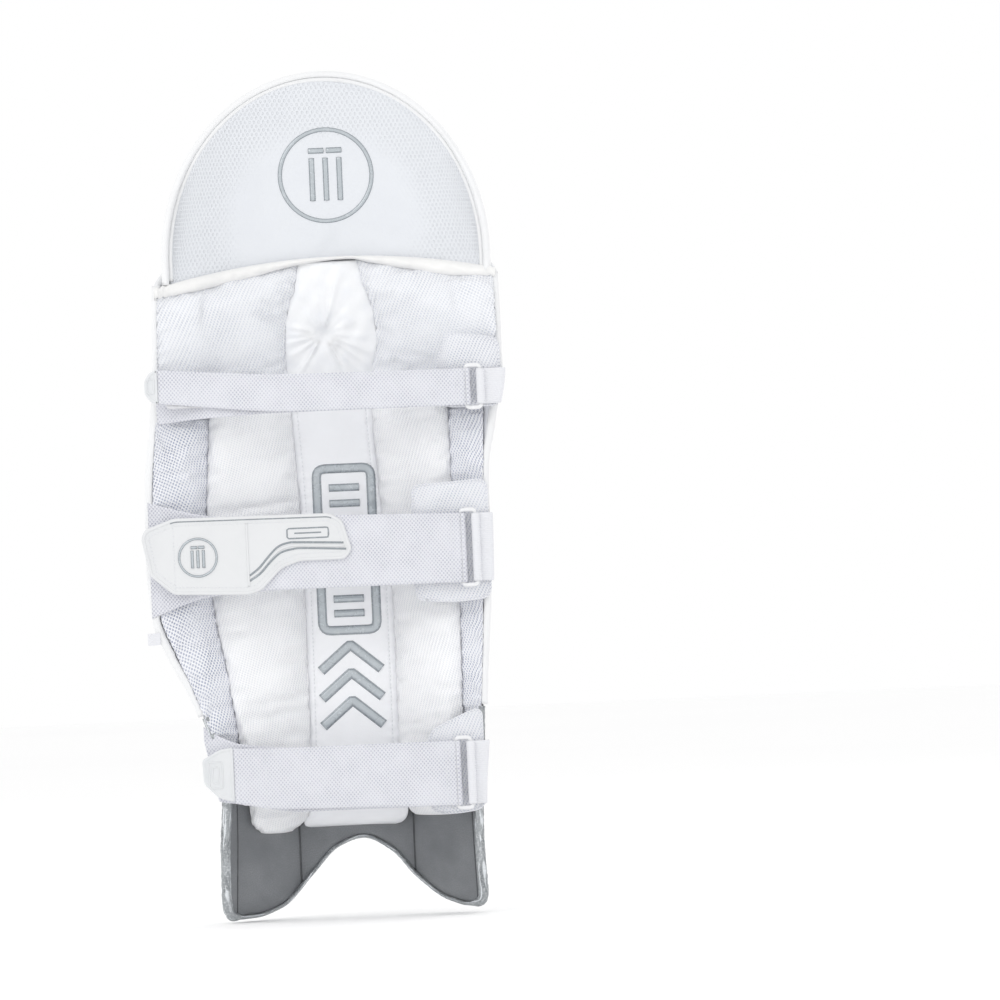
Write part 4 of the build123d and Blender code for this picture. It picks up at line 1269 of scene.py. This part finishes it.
def leg_side_details():
    liner = surface_of("top_hat_liner")
    ring, bars = wicket(0.5, 613, 38)
    print_on("top_hat_ring", ring, 3.6, liner)
    print_on("top_hat_wicket", bars, 4.8, liner)
    stitches("top_hat_stitches", [arch_path(12.5, 540)], liner)

    strip = surface_of("centre_strip")
    print_on("strip_chevrons", [([(-21, z), (4, z + 21), (29, z)], False) for z in (157, 180, 203)], 8.5, strip)
    print_on("strip_frame", [(rounded_box(-18, 236, 27, 370, 7), True)], 8.0, strip)
    print_on("strip_bars", [([(-8, z), (17, z)], False) for z in (250, 262, 341, 354)], 6.5, strip)
    z = np.linspace(88, 424, 120)
    rows = [np.stack([line(edge)(z) + by, z], 1) for edge, by in ((STRIP_LEFT, STRIP_SEAM), (STRIP_RIGHT, -STRIP_SEAM))]
    stitches("strip_stitches", rows, strip, length=2.2, radius=0.34)

    z = np.linspace(454, 530, 40)
    for side, edge, way in (("outer", line(CUP_LEFT), -1), ("inner", line(CUP_RIGHT), 1)):
        rows = [np.stack([edge(z) + way * by, z], 1) for by in (3.2, 5.6)]
        stitches(f"{side}_cup_stitches", rows, surface_of(f"{side}_knee_bolster"), pitch=3.2)


def tab_details():
    patch, body = surface_of("calf_tab"), "calf_strap_end"
    ring, bars = wicket(-117, 301.5, 15.5)
    print_on("calf_tab_ring", ring, 2.0, patch, body)
    print_on("calf_tab_wicket", bars, 2.6, patch, body)
    upper = curved([(-75, 285), (-67, 291), (-59, 300), (-51, 307.5), (-42, 310.5), (-32, 310.5), (3, 308.8)])
    lower = curved([(-75, 280.5), (-66, 286.5), (-57, 296), (-49, 302.5), (-40, 305), (-30, 305.6), (5, 303.6)])
    ridges = [((upper + lower) / 2, False), ([(-76, 276), (-76, 328)], False)]
    ribbon("calf_tab_lines", [(upper, False), (lower, False)], 1.7, 0.4, patch, "silver_edge", body)
    ribbon("calf_tab_ridge", ridges, 1.8, 0.7, patch, "patch", body)
    outline = rounded(TAB_OUTLINES["calf"], TAB_CORNERS["calf"], 7)
    # A dark line along the groove by the tab's top edge: painted shade of the groove.
    groove = inset(outline, 3.1)
    groove = groove[(groove[:, 1] > 326) & (groove[:, 0] < -6)]
    groove = groove[np.argsort(groove[:, 0])]
    ribbon("calf_tab_groove", [(groove, False)], 0.9, 0.35, patch, "silver_edge", body)
    inner_line = inset(outline, 6.2)
    rows = [np.concatenate([inner_line, inner_line[:1]]), [(-136.5, 277), (-136.5, 329)]]
    stitches("calf_tab_stitches", rows, patch, body, pitch=2.9, length=1.8)
    frame_lines = [(rounded_box(-43, 313.8, -9, 322, 1.2, 4), True), ([(-37, 318), (-15, 318)], False)]
    ribbon("calf_tab_frame", frame_lines, 1.2, 0.35, patch, "silver_edge", body)

    for name, shapes in (
        ("knee", [rounded_box(-152.6, 437.5, -147.0, 449.5, 1.2, 4)]),
        ("ankle", [rounded_box(-115.5, 111.5, -104.5, 133, 1.2, 4), rounded_box(-112.5, 115.5, -107.5, 129, 0.8, 4)]),
    ):
        lines = [(shape, True) for shape in shapes]
        ribbon(f"{name}_tab_emboss", lines, 1.2, 0.55, surface_of(f"{name}_tab"), "rubber", f"{name}_strap_end")


def strap_details():
    for name, data in STRAPS.items():
        top, bottom, bar, end = line(data["top"]), line(data["bottom"]), data["bar_x"], data["end"]
        places = [bar - 6.0, bar - 8.4] + ([] if name == "calf" else [end + 4.0, end + 26.0])
        rows = [[(x, float(bottom(x)) + 1.5), (x, float(top(x)) - 1.5)] for x in places]
        x = np.linspace(end + 3, bar - 2, 80)
        rows += [np.stack([x, top(x) - 1.7], 1), np.stack([x, bottom(x) + 1.7], 1)]
        body = f"{name}_strap_end"
        stitches(f"{name}_strap_stitches", rows, surface_of(body), body, pitch=3.0, radius=0.26)


def facing_details():
    z = np.linspace(20, 440, 150)
    for side, left, right in (("outer", outer, roll_edge(0)), ("inner", roll_edge(ROLLS), inner)):
        rows = []
        for share in FACING_SEAMS:
            x = left(z) + 0.6 + share * (right(z) - left(z) - 1.0)
            rows.append(np.stack([x, z], 1)[z > boot(x) + 12])
        facing = surface_of(f"{side}_wing_facing")
        stitches(f"{side}_facing_stitches", rows, facing, length=2.2, radius=0.34, front=True)


def leftovers():
    """The CAD nodes that stay, which are the boards and canes inside the pad, and the side label."""
    for node in ("shin_board", "knee_board", "top_hat_board", "cane_rods"):
        wear(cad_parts[node], "cane" if node == "cane_rods" else "foam")
    outline = rounded([(-151, 231), (-161.5, 230.5), (-161.5, 240.5), (-151, 241)], 0.8, 4)
    label = plate("side_label", outline, [(0.0, -12.0), (0.0, -12.7), (0.15, -12.9)], -11.7)
    finish_piece(label, "webbing")


def stage():
    half = 9000.0
    points = [(-half, -half, -1.5), (half, -half, -1.5), (half, half, -1.5), (-half, half, -1.5)]
    wear(add_mesh("floor", points, [(0, 1, 2, 3)]), "floor_paint")

    scene = bpy.context.scene
    world = bpy.data.worlds.new("studio")
    world.use_nodes = True
    background = world.node_tree.nodes["Background"].inputs
    background["Color"].default_value = (1, 1, 1, 1)
    background["Strength"].default_value = 1.0
    scene.world = world

    aim = Vector((0, 0, 0.35))
    for name, place, size, power, colour in (
        ("key", (-1.7, -1.9, 2.1), 1.4, 16, (1.0, 0.99, 0.98)),
        ("fill", (2.2, -1.6, 0.9), 1.8, 4, (0.97, 0.98, 1.0)),
        ("front_key", (1.8, 2.0, 2.0), 1.4, 9, (1.0, 0.99, 0.98)),
        ("front_fill", (-2.2, 1.6, 0.9), 1.8, 2.5, (0.97, 0.98, 1.0)),
    ):
        light = bpy.data.lights.new(name, "AREA")
        light.shape = "SQUARE"
        light.size = size
        light.energy = power
        light.color = colour
        thing = bpy.data.objects.new(name, light)
        thing.location = place
        thing.rotation_euler = (aim - Vector(place)).to_track_quat("-Z", "Y").to_euler()
        scene.collection.objects.link(thing)

    # From so far away, the picture is 0.826 m wide at the leg side's depth.
    distance, depth, wide, sensor = 9.0, 0.02, 0.826, 36
    camera = bpy.data.cameras.new("camera")
    camera.sensor_width = sensor
    camera.lens = sensor * (distance + depth) / wide
    camera.clip_start, camera.clip_end = 0.05, 50
    thing = bpy.data.objects.new("camera", camera)
    thing.location = (0.133, -distance, 0.338)
    thing.rotation_euler = (math.radians(90), math.radians(2.5), 0)
    scene.collection.objects.link(thing)
    scene.camera = thing
    scene.view_settings.view_transform = "Standard"


make_looks()
front()
hat_edges()
wing_edges()
foot_binding()
boot_lining()
linings()
top_hat_liner()
shin_and_wings()
centre_strip()
knee()
bolster_band()
for name, data in STRAPS.items():
    for build in (free_run, strap_fold, strap_base, buckle, keeper, cushion, hook_patch_and_tab):
        build(name, data)
run_puffs()
leg_side_details()
tab_details()
strap_details()
facing_details()
leftovers()
stage()
